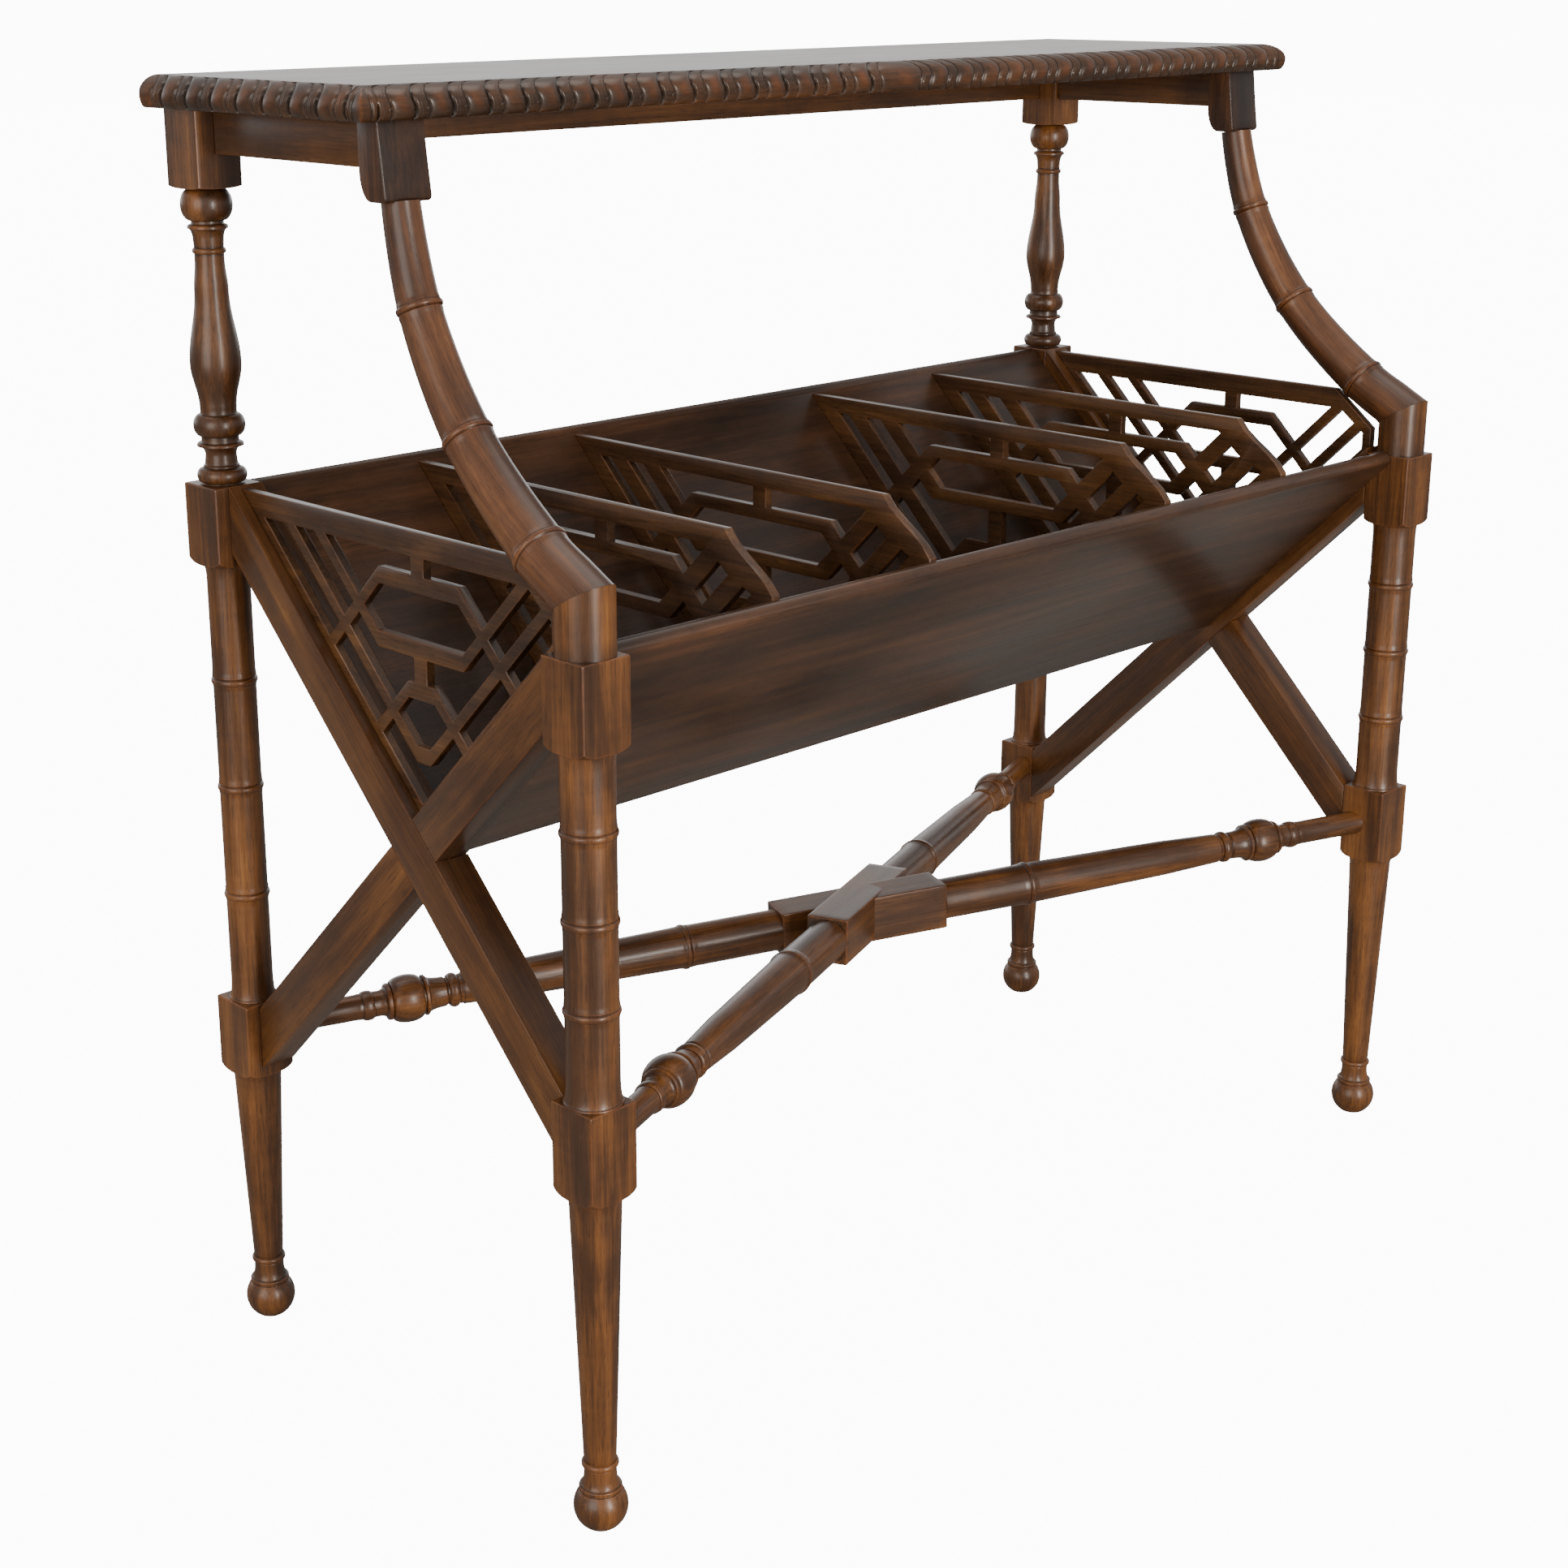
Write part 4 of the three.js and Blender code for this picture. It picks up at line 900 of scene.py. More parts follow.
@dataclass
class Stretcher:
    """Turned stretcher with a square block in its middle, from a front post down to the opposite rear post.

    Heights of the outline are distances from the post's face. front_height and rear_height are where the
    line meets the posts' axes. The pair is lapped where it crosses, and the one that stands a little higher
    there shows its top face. knob runs from inside the post over the knob, and shaft holds the shaft's radii
    at the end of its swelling, at the ring, before the block and at the block.
    """

    side: Side
    front_height: float
    rear_height: float
    span: Pair = (887.4, 376.6)
    block: Triple = (70.5, 16.5, 18.3)
    ease: float = 1.0
    tenon: Pair = (9.6, -14.0)
    knob: Runs = (
        (9.6, 54.0, Shape.LINE, 8), (9.9, 56.5, Shape.LINE, 2), (9.7, 58.6, Shape.LINE, 2),
        (9.7, 67.2, Shape.BEAD, 12, 11.2), (9.6, 72.0, Shape.LINE, 4), (13.2, 77.2, Shape.HOLLOW, 8),
        (13.9, 78.2, Shape.LINE, 2), (13.9, 80.0, Shape.LINE, 2), (12.9, 81.0, Shape.LINE, 2),
        (13.3, 104.6, Shape.BEAD, 24, 18.0), (13.3, 105.6, Shape.LINE, 2), (15.3, 106.2, Shape.LINE, 2),
        (15.3, 107.8, Shape.LINE, 2), (14.4, 108.6, Shape.LINE, 2), (11.3, 121.8, Shape.HOLLOW, 10),
        (10.1, 123.4, Shape.LINE, 3), (10.1, 124.6, Shape.LINE, 2), (10.6, 132.2, Shape.BEAD, 12, 13.0),
        (11.2, 133.4, Shape.LINE, 2), (12.0, 136.0, Shape.HOLLOW, 3), (14.2, 185.0, Shape.LINE, 6))
    shaft: Triple = (16.4, 16.3, 16.45)
    ring_place: float = 148.0
    ring_room: float = 7.0
    ring_bulge: float = 1.2
    neck: float = 8.0
    columns: int = 64
    seed: int = 19

    def half_profile(self, reach: float) -> Profile:
        """Outline of half a stretcher, drawn from inside the post towards the middle block.

        Args:
            reach: distance from the post's face to the middle.

        Returns:
            The outline, as radius against distance from the post's face.
        """
        ring, end = reach - self.ring_place, reach - self.block[0]
        profile = Profile([self.tenon[0]], [self.tenon[1]]).follow(self.knob)
        profile.to(self.shaft[0], ring - self.ring_room, Shape.LINE, 12).node(ring, self.ring_bulge)
        return profile.to(self.shaft[1], end - self.neck, Shape.LINE, 6).to(self.shaft[2], end, Shape.HOLLOW, 8)

    def rings(self, angle: np.ndarray, reach: float) -> list[np.ndarray]:
        """Rings of the whole stretcher: one half, the block's sides, and the half again the other way round.

        Args:
            angle: directions round the line.
            reach: distance from the post's face to the middle.

        Returns:
            Grids of radius, distance from the middle, wear and painted shade.
        """
        half_length = self.block[0]
        square, worn = square_outline(angle, *self.block[1:])
        rows = Rows(angle)
        profile = self.half_profile(reach)
        rows.add_profile(profile, -reach)
        inward = np.array([0.02, 0.4, 0.97])[:, None]
        # painted shade in the crease where the shaft's end meets the block
        rows.add(profile.radius[-1] * (1 - inward) + (square - self.ease) * inward, -half_length, 0.0,
                 np.array([1.0, 0.3, 0.0])[:, None])
        bend = QUARTER_STEPS[:, None]
        rows.add(square - self.ease * (1 - np.sin(bend)), self.ease * (1 - np.cos(bend)) - half_length,
                 np.maximum(rubbed_arris(bend), worn))
        half = rows.stacked()
        places = np.linspace(-0.9, 0.9, 7)[:, None] * half_length
        sides = [np.broadcast_to(part, (len(places), len(angle))) for part in (square, places, worn, 0.0)]
        return [np.concatenate([part, side, turn * part[::-1]], 0)
                for part, side, turn in zip(half, sides, (1, -1, 1, 1))]

    def build(self) -> bpy.types.Object:
        """Turns both halves and the block as one closed surface and lays it along its line.

        A point is middle + along s + across r cos(a) + up r sin(a), where s is the distance along the line.

        Returns:
            The stretcher.
        """
        front = np.array([self.side.sign * self.span[0] / 2, -self.span[1] / 2, self.front_height])
        rear = np.array([-front[0], -front[1], self.rear_height])
        along = (rear - front) / np.linalg.norm(rear - front)
        across = np.cross(along, [0.0, 0.0, 1.0])
        across /= np.linalg.norm(across)
        up = np.cross(across, along)
        middle = (front + rear) / 2 + [0, REAR_SHIFT, 0]
        angle = ring_angles(self.columns, *self.block[1:])
        radius, place, wear, shade_and_seams = self.rings(angle, (self.span[0] / 2 - POST_HALF) / abs(along[0]))
        grain = np.stack([place, np.cos(angle) * radius, np.sin(angle) * radius], -1)
        pole_grain = np.array([[place[0, 0], 0, 0], [place[-1, 0], 0, 0]])
        axes = np.stack([along, across, up])
        surface = tube_surface(grain @ axes + middle, pole_grain @ axes + middle, grain, pole_grain, wear,
                               shade_and_seams, self.seed + self.side.sign, reverse=True)
        node = f"{self.side.value}_front_stretcher"
        piece = mesh_object(node + "_turned", surface)
        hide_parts(node)
        return piece


# The top


@dataclass(frozen=True)
class Gadroon:
    """The carver's pattern, in shares u of its pitch and shares v of the way down the edge's section.

    A pair of shares is the middle and half width of a lobe or groove, or the start and span of a climb.
    """

    pitch: float = 28.8
    depth: float = 2.3
    centre_lobe: float = 41.2
    rear_lobe: float = 12.3
    curl: float = 14.0
    curl_end: float = 0.42
    curl_power: float = 2.2
    curl_start: Pair = (3.0, 12.0)
    sway: float = 1.2
    sway_run: Pair = (0.3, 0.7)
    double: Pair = (0.055, 0.034)
    double_height: float = 0.5
    reed: Pair = (0.215, 0.128)
    reed_height: float = 0.72
    lines: Pair = (0.175, 0.25)
    line_half: float = 0.016
    line_depth: float = 0.1
    groove: Pair = (0.362, 0.035)
    groove_depth: float = 0.4
    slope: Pair = (0.38, 0.16)
    slope_height: float = 0.66
    slope_end: Pair = (0.9, 0.1)
    broad: Pair = (0.72, 0.275)
    round_power: float = 0.8
    reed_power: float = 0.45
    rim: Pair = (0.02, 0.09)
    lip: Pair = (0.86, 0.14)
    lip_fall: float = 0.75
    rub_and_lit_band: Pair = (0.58, 0.26)
    leaf: float = 8.7
    leaf_point: float = 0.4
    leaf_run: Pair = (0.12, 0.55)
    leaf_fall: float = 0.45
    leaf_hollow: float = 14.0
    hollow_heights: Triple = (0.34, 0.5, 0.8)
    rubbed: Pair = (0.8, 0.2)
    shaded_below: float = 0.3
    ridge_wear: float = 3.0
    leaf_line: float = 0.2
    mark: float = 0.8

    def cut(self, crest: np.ndarray, rim: np.ndarray, v: np.ndarray) -> np.ndarray:
        """Depth under a crest height from 0 to 1, dying out at the section's rim and lower lip."""
        return self.depth * (1 - crest) * rim * (1 - climb(v, *self.lip) ** 2 * self.lip_fall)

    def carving(self, place: np.ndarray, v: np.ndarray) -> tuple[np.ndarray, np.ndarray, np.ndarray]:
        """How deep the carver went, by distance from the middle of the pattern and share down the section.

        The pattern is mirrored about its middle, where one lobe is wider. Beyond it every pitch holds a fine
        bead, a lined reed, a deep groove and a broad lobe that rises slowly on its near side. Towards the top
        of the section the grooves lean towards the middle by c (1 - v / e)^p, so each lobe curls like a comma,
        and lower down they sway back a little.

        Args:
            place: distances from the middle of the pattern, negative to the left.
            v: shares of the way down the section, as a column.

        Returns:
            Depth in millimetres, wear that on the lobes also paints a warm lit patch, and painted shade in the
            hollows.
        """
        away = np.abs(place)
        sway = np.sin(climb(v, *self.sway_run) * 2 * math.pi)
        curl = self.curl * (1 - climb(v, 0.0, self.curl_end)) ** self.curl_power - self.sway * sway
        x = away + curl * climb(away, *self.curl_start)
        first = self.centre_lobe / 2
        u = ((x - first) / self.pitch) % 1.0
        bead = self.double_height * lobe(u, *self.double)
        lines = sum(self.line_depth * (np.abs(u - line) < self.line_half) for line in self.lines)
        reed = self.reed_height * lobe(u, *self.reed) ** self.reed_power - lines
        slope = self.slope_height * climb(u, *self.slope) ** self.round_power * (1 - climb(u, *self.slope_end))
        broad = np.where(u > self.slope[0], np.maximum(slope, lobe(u, *self.broad) ** self.round_power), 0.0)
        crest = np.where(x < first, lobe(x, 0.0, first) ** self.round_power,
                         np.maximum.reduce([bead, reed, broad]) - self.groove_depth * tent(u, *self.groove))
        rim = climb(v, *self.rim)
        rim = rim * rim * (3 - 2 * rim)
        # rubbed crests on the lobes' bellies, which also paints the warm lit patch seen there
        wear = climb(crest, *self.rubbed) * rim * lobe(v, *self.rub_and_lit_band) ** 2 * self.mark
        # the carving's deepest parts get painted shade
        return self.cut(crest, rim, v), wear, np.clip(1 - crest / self.shaded_below, 0, 1) * rim

    def leaf_carving(self, gap: np.ndarray, v: np.ndarray) -> tuple[np.ndarray, np.ndarray, np.ndarray]:
        """How deep the carver went beside a front corner.

        A pointed leaf stands on the corner: its half width w grows down the section to the leaf's width, and
        its crest falls from 1 at the ridge as 1 - f (d / w)^2. Beside it lies a smooth hollow.

        Args:
            gap: distances d from the corner.
            v: shares of the way down the section, as a column.

        Returns:
            Depth in millimetres, wear, and painted shade along the leaf's edge.
        """
        width = self.leaf * climb(v, *self.leaf_run) ** self.round_power + self.leaf_point
        ratio = gap / width
        low, swell, most = self.hollow_heights
        hollow = low + swell * np.sin(climb(gap, width, self.leaf_hollow - width) * math.pi)
        crest = np.where(ratio < 1, 1 - self.leaf_fall * ratio ** 2, np.minimum(hollow, most))
        rim = climb(v, *self.rim)
        wear = np.clip(1 - self.ridge_wear * ratio, 0, 1) * rim
        # a painted shade line along the leaf's edge
        return self.cut(crest, rim, v), wear, tent(ratio, 1.0, self.leaf_line) * rim * self.mark

    def end_place(self, from_rear: np.ndarray) -> np.ndarray:
        """Place in the pattern by distance from the rear end, towards which the pattern curls."""
        return from_rear + self.centre_lobe / 2 - self.rear_lobe


@dataclass
class GadroonTop:
    """Top board with a carved gadroon edge on its front and ends, and a plain edge at the rear.

    low, widest and high are heights of the edge's section, which stands in by inset above and foot_inset
    below. corner is how far from a front corner the columns fan out.
    """

    half_length: float = 477.0
    front: float = -33.3
    rear: float = 209.0
    low: float = TOP_UNDERSIDE
    high: float = 910.0
    widest: float = 898.0
    inset: float = 14.0
    foot_inset: float = 4.0
    corner: float = 17.0
    rim_step: float = 1.2
    columns_each: int = 48
    smooth_angle: float = 50.0
    seed: int = 23
    pattern: Gadroon = Gadroon()

    def section(self) -> tuple[np.ndarray, np.ndarray, np.ndarray]:
        """Section of the edge from the flat top down to the underside.

        The upper part is a quarter ellipse x = inset (1 - sin a), z = widest + (high - widest) cos a, and the
        lower one x = foot_inset (1 - cos b), z = widest - (widest - low) sin b.

        Returns:
            Inset, height and share of the way down the section, each as a column.
        """
        a = np.radians(np.linspace(9, 90, 22))
        b = np.radians(np.linspace(0, 90, 12))[1:]
        top = np.stack([self.inset * (1 - np.sin(a)) / (1 - math.sin(a[0])),
                        self.widest + (self.high - self.widest) * np.cos(a) / math.cos(a[0])], -1)
        under = np.stack([self.foot_inset * (1 - np.cos(b)),
                          self.widest - (self.widest - self.low) * np.sin(b)], -1)
        line = np.vstack([top, under])
        way = distances(line)
        return line[:, :1], line[:, 1:], (way / way[-1])[:, None]

    def side_run(self, start: Pair, ahead: Pair, length: float, begin: bool, finish: bool) -> list[np.ndarray]:
        """Carries the carved section along one side.

        Near a front corner the columns fan out so that both sides share the mitre: a column at distance s from
        the corner moves along its side by inset (1 - s / corner).

        Args:
            start: X and Y where the side begins.
            ahead: its unit direction. The board lies to its left.
            length: its length.
            begin: whether it begins at a front corner.
            finish: whether it ends at one, where the next side gives the last column.

        Returns:
            Grids of points, wear with its painted lit patch, and painted shade.
        """
        inset, height, share = self.section()
        count = int(round(length / self.pattern.pitch * self.columns_each))
        s = np.linspace(0, length, count + 1)[:count if finish else count + 1]
        if begin and finish:
            place = s - length / 2
        else:
            place = self.pattern.end_place(length - s if begin else s)
        cut, wear, shade_and_seams = self.pattern.carving(place, share)
        corners = [(gap, turn) for gap, turn, on in ((s, 1, begin), (length - s, -1, finish)) if on]
        for gap, _ in corners:
            near = gap < self.pattern.leaf_hollow
            cut[:, near], wear[:, near], shade_and_seams[:, near] = self.pattern.leaf_carving(gap[near], share)
        total = inset + cut
        way = s + sum(turn * total * np.clip(1 - gap / self.corner, 0, 1) for gap, turn in corners)
        x = start[0] + ahead[0] * way - ahead[1] * total
        y = start[1] + ahead[1] * way + ahead[0] * total
        return [np.stack([x, y, np.broadcast_to(height, x.shape)], -1), wear, shade_and_seams]

    def build(self) -> bpy.types.Object:
        """Carries the carved section round the left end, the front and the right end, and closes it.

        Returns:
            The top.
        """
        end, deep = self.half_length, self.rear - self.front
        runs = [self.side_run((-end, self.rear), (0.0, -1.0), deep, False, True),
                self.side_run((-end, self.front), (1.0, 0.0), 2 * end, True, True),
                self.side_run((end, self.front), (0.0, 1.0), deep, True, False)]
        grid, wear, shade_and_seams = (np.concatenate(parts, 1)[::-1] for parts in zip(*runs))
        middle = np.array([0.0, (self.front + self.rear) / 2])
        foot, top = (self.inner_ring(ring, middle)[None] for ring in (grid[0], grid[-1]))
        grid = np.concatenate([foot, grid, top], 0) + [0, REAR_SHIFT, 0]
        wear, shade_and_seams = (np.pad(mark, ((1, 1), (0, 0))) for mark in (wear, shade_and_seams))
        poles = [[0, middle[1] + REAR_SHIFT, height] for height in (self.low, self.high)]
        surface = tube_surface(grid, poles, grid, poles, wear, shade_and_seams, self.seed)
        piece = mesh_object("carved_top", surface, self.smooth_angle)
        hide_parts("table_top")
        return piece

    def inner_ring(self, ring: np.ndarray, middle: np.ndarray) -> np.ndarray:
        """Steps a ring a little nearer to the middle, in its own plane, but not off the rear edge.

        Args:
            ring: points of the ring.
            middle: X and Y of the board's middle.

        Returns:
            The inner ring.
        """
        away = middle - ring[:, :2]
        shift = away / np.linalg.norm(away, axis=1, keepdims=True) * self.rim_step
        shift[np.isclose(ring[:, 1], ring[:, 1].max()), 1] = 0.0
        return np.concatenate([ring[:, :2] + shift, ring[:, 2:]], 1)


# Boards, bars, rails and fretwork


@dataclass
class EasedPiece:
    """A sawn piece: the shape of its CAD node with the arrises eased and rubbed.

    Every outer edge sharper than the limit is rounded over the given width, and the middle of the rounding is
    marked as worn. The weld is in metres, and the other limits in degrees.
    """

    node: str
    along: Triple
    seed: int
    width: float
    limit: float = 35.0
    weld: float = 2e-5
    flat_limit: float = 0.6
    smooth_angle: float = 28.0

    def eased_mesh(self) -> bpy.types.Mesh:
        """Copies and welds the node's mesh, rounds its arrises and marks the middle of each rounding.

        Returns:
            The mesh, with its wear.
        """
        mesh = bpy.data.objects[self.node].data.copy()
        work = bmesh.new()
        work.from_mesh(mesh)
        bmesh.ops.remove_doubles(work, verts=work.verts, dist=self.weld)
        bmesh.ops.dissolve_limit(work, angle_limit=math.radians(self.flat_limit), verts=work.verts,
                                 edges=work.edges)
        sharp = [edge for edge in work.edges if len(edge.link_faces) == 2 and edge.is_convex
                 and edge.calc_face_angle(0.0) > math.radians(self.limit)]
        done = bmesh.ops.bevel(work, geom=sharp, offset=self.width * MM, segments=2, profile=0.5,
                               affect="EDGES", clamp_overlap=True)
        rounded = set(done["faces"])
        mark = work.verts.layers.float.new("wear")
        for vert in work.verts:
            vert[mark] = float(bool(vert.link_faces) and all(face in rounded for face in vert.link_faces))
        work.to_mesh(mesh)
        work.free()
        return mesh

    def build(self) -> bpy.types.Object:
        """Eases the node's mesh and lays its grain: a point's place is its coordinates along and across it.

        Returns:
            The piece.
        """
        mesh = self.eased_mesh()
        points = np.empty(len(mesh.vertices) * 3, np.float32)
        mesh.vertices.foreach_get("co", points)
        first = np.array(self.along) / np.linalg.norm(self.along)
        second = np.cross([0.0, 0.0, 1.0], first)
        second /= np.linalg.norm(second)
        across = np.stack([first, second, np.cross(first, second)], -1)
        write_attribute(mesh, "grain", points.reshape(-1, 3).astype(float) @ across
                        + timber_place(self.seed) * MM)
        write_attribute(mesh, "shade_and_seams", np.zeros(len(mesh.vertices)))
        mesh.materials.clear()
        piece = placed(self.node + "_eased", mesh, self.smooth_angle)
        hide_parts(self.node)
        return piece


# Finishes


def linear(colour: Rgb) -> tuple[float, float, float, float]:
    """Turns a display colour from 0 to 255 into the opaque linear values a shader takes."""
    share = [value / DISPLAY_WHITE for value in colour]
    return (*(value / 12.92 if value <= 0.04045 else ((value + 0.055) / 1.055) ** 2.4 for value in share), 1.0)


class Figure(Enum):
    """Noises in the timber: cycles per metre along and across the grain, detail, roughness and distortion."""

    STREAK = ((4.0, 70.0, 70.0), 5.0, 0.55, 0.15)
    FINE = ((16.0, 480.0, 480.0), 4.0, 0.6, 0.0)
    PORE = ((60.0, 1100.0, 1100.0), 2.0, 0.55, 0.0)
    BLOTCH = ((7.0, 24.0, 24.0), 3.0, 0.5, 0.6)
    RIPPLE = ((120.0, 30.0, 30.0), 2.0, 0.5, 0.4)
    PATCH = ((60.0, 60.0, 60.0), 3.0, 0.6, 0.0)


class Nodes:
    """Small helper that adds and links shader nodes of one material or world."""

    def __init__(self, owner: bpy.types.Material | bpy.types.World) -> None:
        """Clears the owner's node tree.

        Args:
            owner: the material or world to fill.
        """
        owner.use_nodes = True
        self.tree = owner.node_tree
        self.tree.nodes.clear()

    def feed(self, socket: bpy.types.NodeSocket, value: object) -> None:
        """Links another node's socket to a socket, or sets a plain value on it.

        Args:
            socket: the socket that is fed.
            value: an output socket or a plain value.
        """
        if isinstance(value, bpy.types.NodeSocket):
            self.tree.links.new(value, socket)
        else:
            socket.default_value = value

    def add(self, kind: str, *values: object, **inputs: object) -> bpy.types.Node:
        """Adds a node and sets or links its inputs.

        Args:
            kind: the node's type name.
            values: values or sockets for its first inputs, in order.
            inputs: values or sockets by input name, with underscores for spaces; attributes of the node where
                no input has the name.

        Returns:
            The node.
        """
        node = self.tree.nodes.new(kind)
        for name, value in inputs.items():
            label = name.replace("_", " ")
            if label in node.inputs:
                self.feed(node.inputs[label], value)
            else:
                setattr(node, name, value)
        for socket, value in zip(node.inputs, values):
            self.feed(socket, value)
        return node

    def math(self, operation: str, a: object, b: object = 0.0, c: object = 0.0, clamp: bool = False) -> object:
        """A Math node's result."""
        return self.add("ShaderNodeMath", a, b, c, operation=operation, use_clamp=clamp).outputs[0]

    def scaled(self, value: object, share: object, plus: object = 0.0, clamp: bool = False) -> object:
        """value times share plus a third value."""
        return self.math("MULTIPLY_ADD", value, share, plus, clamp)

    def centred(self, value: object, middle: float, share: float, plus: object, clamp: bool = False) -> object:
        """(value - middle) times share plus a third value."""
        return self.scaled(self.math("SUBTRACT", value, middle), share, plus, clamp)

    def mix(self, factor: object, a: object, b: object) -> object:
        """Mixes two colours.

        Args:
            factor: share of the second colour.
            a: the first colour.
            b: the second colour.

        Returns:
            The mixed colour.
        """
        node = self.tree.nodes.new("ShaderNodeMix")
        node.data_type = "RGBA"
        for socket, value in zip((node.inputs[0], node.inputs[6], node.inputs[7]), (factor, a, b)):
            self.feed(socket, value)
        return node.outputs[2]

    def noise(self, place: object, figure: Figure) -> object:
        """Stretches space along the grain and reads one of the timber's noises there.

        Args:
            place: the place in the timber.
            figure: which noise.

        Returns:
            The noise, from 0 to 1.
        """
        scale, detail, rough, bend = figure.value
        spread = self.add("ShaderNodeMapping", Vector=place, Scale=scale).outputs[0]
        return self.add("ShaderNodeTexNoise", Vector=spread, Scale=1.0, Detail=detail, Roughness=rough,
                        Distortion=bend).outputs[0]

    def ramp(self, factor: object, stops: list[tuple[float, tuple]]) -> object:
        """Turns a number into a colour.

        Args:
            factor: the number, from 0 to 1.
            stops: where each colour stands, and the colour.

        Returns:
            The colour.
        """
        node = self.tree.nodes.new("ShaderNodeValToRGB")
        self.tree.links.new(factor, node.inputs[0])
        elements = node.color_ramp.elements
        while len(elements) < len(stops):
            elements.new(0.5)
        for element, (spot, stain) in zip(elements, stops):
            element.position, element.color = spot, stain
        return node.outputs[0]


@dataclass(frozen=True)
class WoodFinish:
    """Stained and lacquered wood: streaks along the grain, blotches of stain, fine pores, rubbed edges, and
    painted shade in hollows.

    Colours are display colours from 0 to 255, from the darkest streak to the lightest. streak, blotch, fine
    and ripple are how much each noise counts. rub_patch is the middle, contrast and least of the noise that
    breaks up the rubbing, and shade_breakup the share and least of the one that breaks up the painted shade.
    A carried finish reads Object coordinates and knows no wear and no painted shade.
    """

    name: str
    deep: Rgb
    body: Rgb
    warm: Rgb
    light: Rgb
    # colour of rubbed wood; on the carved lobes it also paints a warm lit patch
    rubbed: Rgb = (140, 78, 34)
    # near-black brown that paints shade in hollows and creases, and dark seams
    shade_and_seam_colour: Rgb = (16, 10, 7)
    stops: tuple[float, ...] = (0.08, 0.42, 0.70, 0.97)
    streak: float = 0.40
    blotch: float = 0.46
    fine: float = 0.24
    ripple: float = 0.06
    contrast: float = 2.0
    pore_limit: float = 0.43
    pore_edge: float = 7.0
    pore_strength: float = 0.55
    gloss: float = 0.38
    gloss_change: Pair = (0.22, 0.12)
    coat: float = 0.28
    coat_gloss: float = 0.24
    bump: float = 0.16
    bump_depth: float = 0.0004
    rub_patch: Triple = (0.42, 3.0, 0.35)
    rub_share: float = 0.5
    shade_breakup: Pair = (0.5, 0.55)
    carried: bool = False

    def stained(self, nodes: Nodes, noises: dict[Figure, object]) -> object:
        """Sums the noises, runs them through a ramp of four stains and darkens the pores.

        Args:
            nodes: the material's nodes.
            noises: the timber's noises.

        Returns:
            The colour.
        """
        tone = nodes.scaled(noises[Figure.STREAK], self.streak,
                            nodes.math("MULTIPLY", noises[Figure.BLOTCH], self.blotch))
        tone = nodes.scaled(noises[Figure.FINE], self.fine, tone)
        tone = nodes.scaled(noises[Figure.RIPPLE], self.ripple, tone)
        middle = (self.streak + self.blotch + self.fine + self.ripple) / 2
        tone = nodes.centred(tone, middle, self.contrast, 0.5, True)
        stains = [linear(stain) for stain in (self.deep, self.body, self.warm, self.light)]
        colour = nodes.ramp(tone, list(zip(self.stops, stains)))
        open_pores = nodes.math("MULTIPLY", nodes.math("SUBTRACT", self.pore_limit, noises[Figure.PORE]),
                                self.pore_edge, 0.0, True)
        return nodes.mix(nodes.math("MULTIPLY", open_pores, self.pore_strength), colour, linear(self.deep))

    def worn_and_shaded(self, nodes: Nodes, place: object, colour: object) -> object:
        """Turns worn places to the rubbed colour and paints shade into hollows, creases and seams, both broken
        up by noise.

        Args:
            nodes: the material's nodes.
            place: the place in the timber.
            colour: the stained colour.

        Returns:
            The worn and shaded colour.
        """
        wear, shade_and_seams = (nodes.add("ShaderNodeAttribute", attribute_name=name).outputs["Fac"]
                       for name in ("wear", "shade_and_seams"))
        patch = nodes.noise(place, Figure.PATCH)
        broken = nodes.centred(patch, *self.rub_patch, True)
        rubbing = nodes.math("MULTIPLY", nodes.math("MULTIPLY", wear, broken), self.rub_share)
        colour = nodes.mix(rubbing, colour, linear(self.rubbed))
        # painted shade, broken up by noise
        dark = nodes.math("MULTIPLY", shade_and_seams, nodes.scaled(patch, *self.shade_breakup), 0.0, True)
        return nodes.mix(dark, colour, linear(self.shade_and_seam_colour))

    def material(self) -> bpy.types.Material:
        """Builds the material, whose fine noise and pores also set the bump and part of the roughness.

        Returns:
            The material.
        """
        material = bpy.data.materials.new(self.name)
        nodes = Nodes(material)
        if self.carried:
            place = nodes.add("ShaderNodeTexCoord").outputs["Object"]
        else:
            place = nodes.add("ShaderNodeAttribute", attribute_name="grain").outputs["Vector"]
        noises = {figure: nodes.noise(place, figure) for figure in Figure if figure is not Figure.PATCH}
        colour = self.stained(nodes, noises)
        if not self.carried:
            colour = self.worn_and_shaded(nodes, place, colour)
        haze = nodes.centred(noises[Figure.FINE], 0.5, self.gloss_change[0], self.gloss)
        haze = nodes.centred(noises[Figure.BLOTCH], 0.5, self.gloss_change[1], haze)
        raised = nodes.scaled(noises[Figure.FINE], 0.5, nodes.math("MULTIPLY", noises[Figure.PORE], 0.5))
        relief = nodes.add("ShaderNodeBump", Strength=self.bump, Distance=self.bump_depth, Height=raised)
        shader = nodes.add("ShaderNodeBsdfPrincipled", Base_Color=colour, Roughness=haze,
                           Normal=relief.outputs[0], Coat_Weight=self.coat, Coat_Roughness=self.coat_gloss,
                           IOR=1.5)
        nodes.add("ShaderNodeOutputMaterial", Surface=shader.outputs[0])
        return material


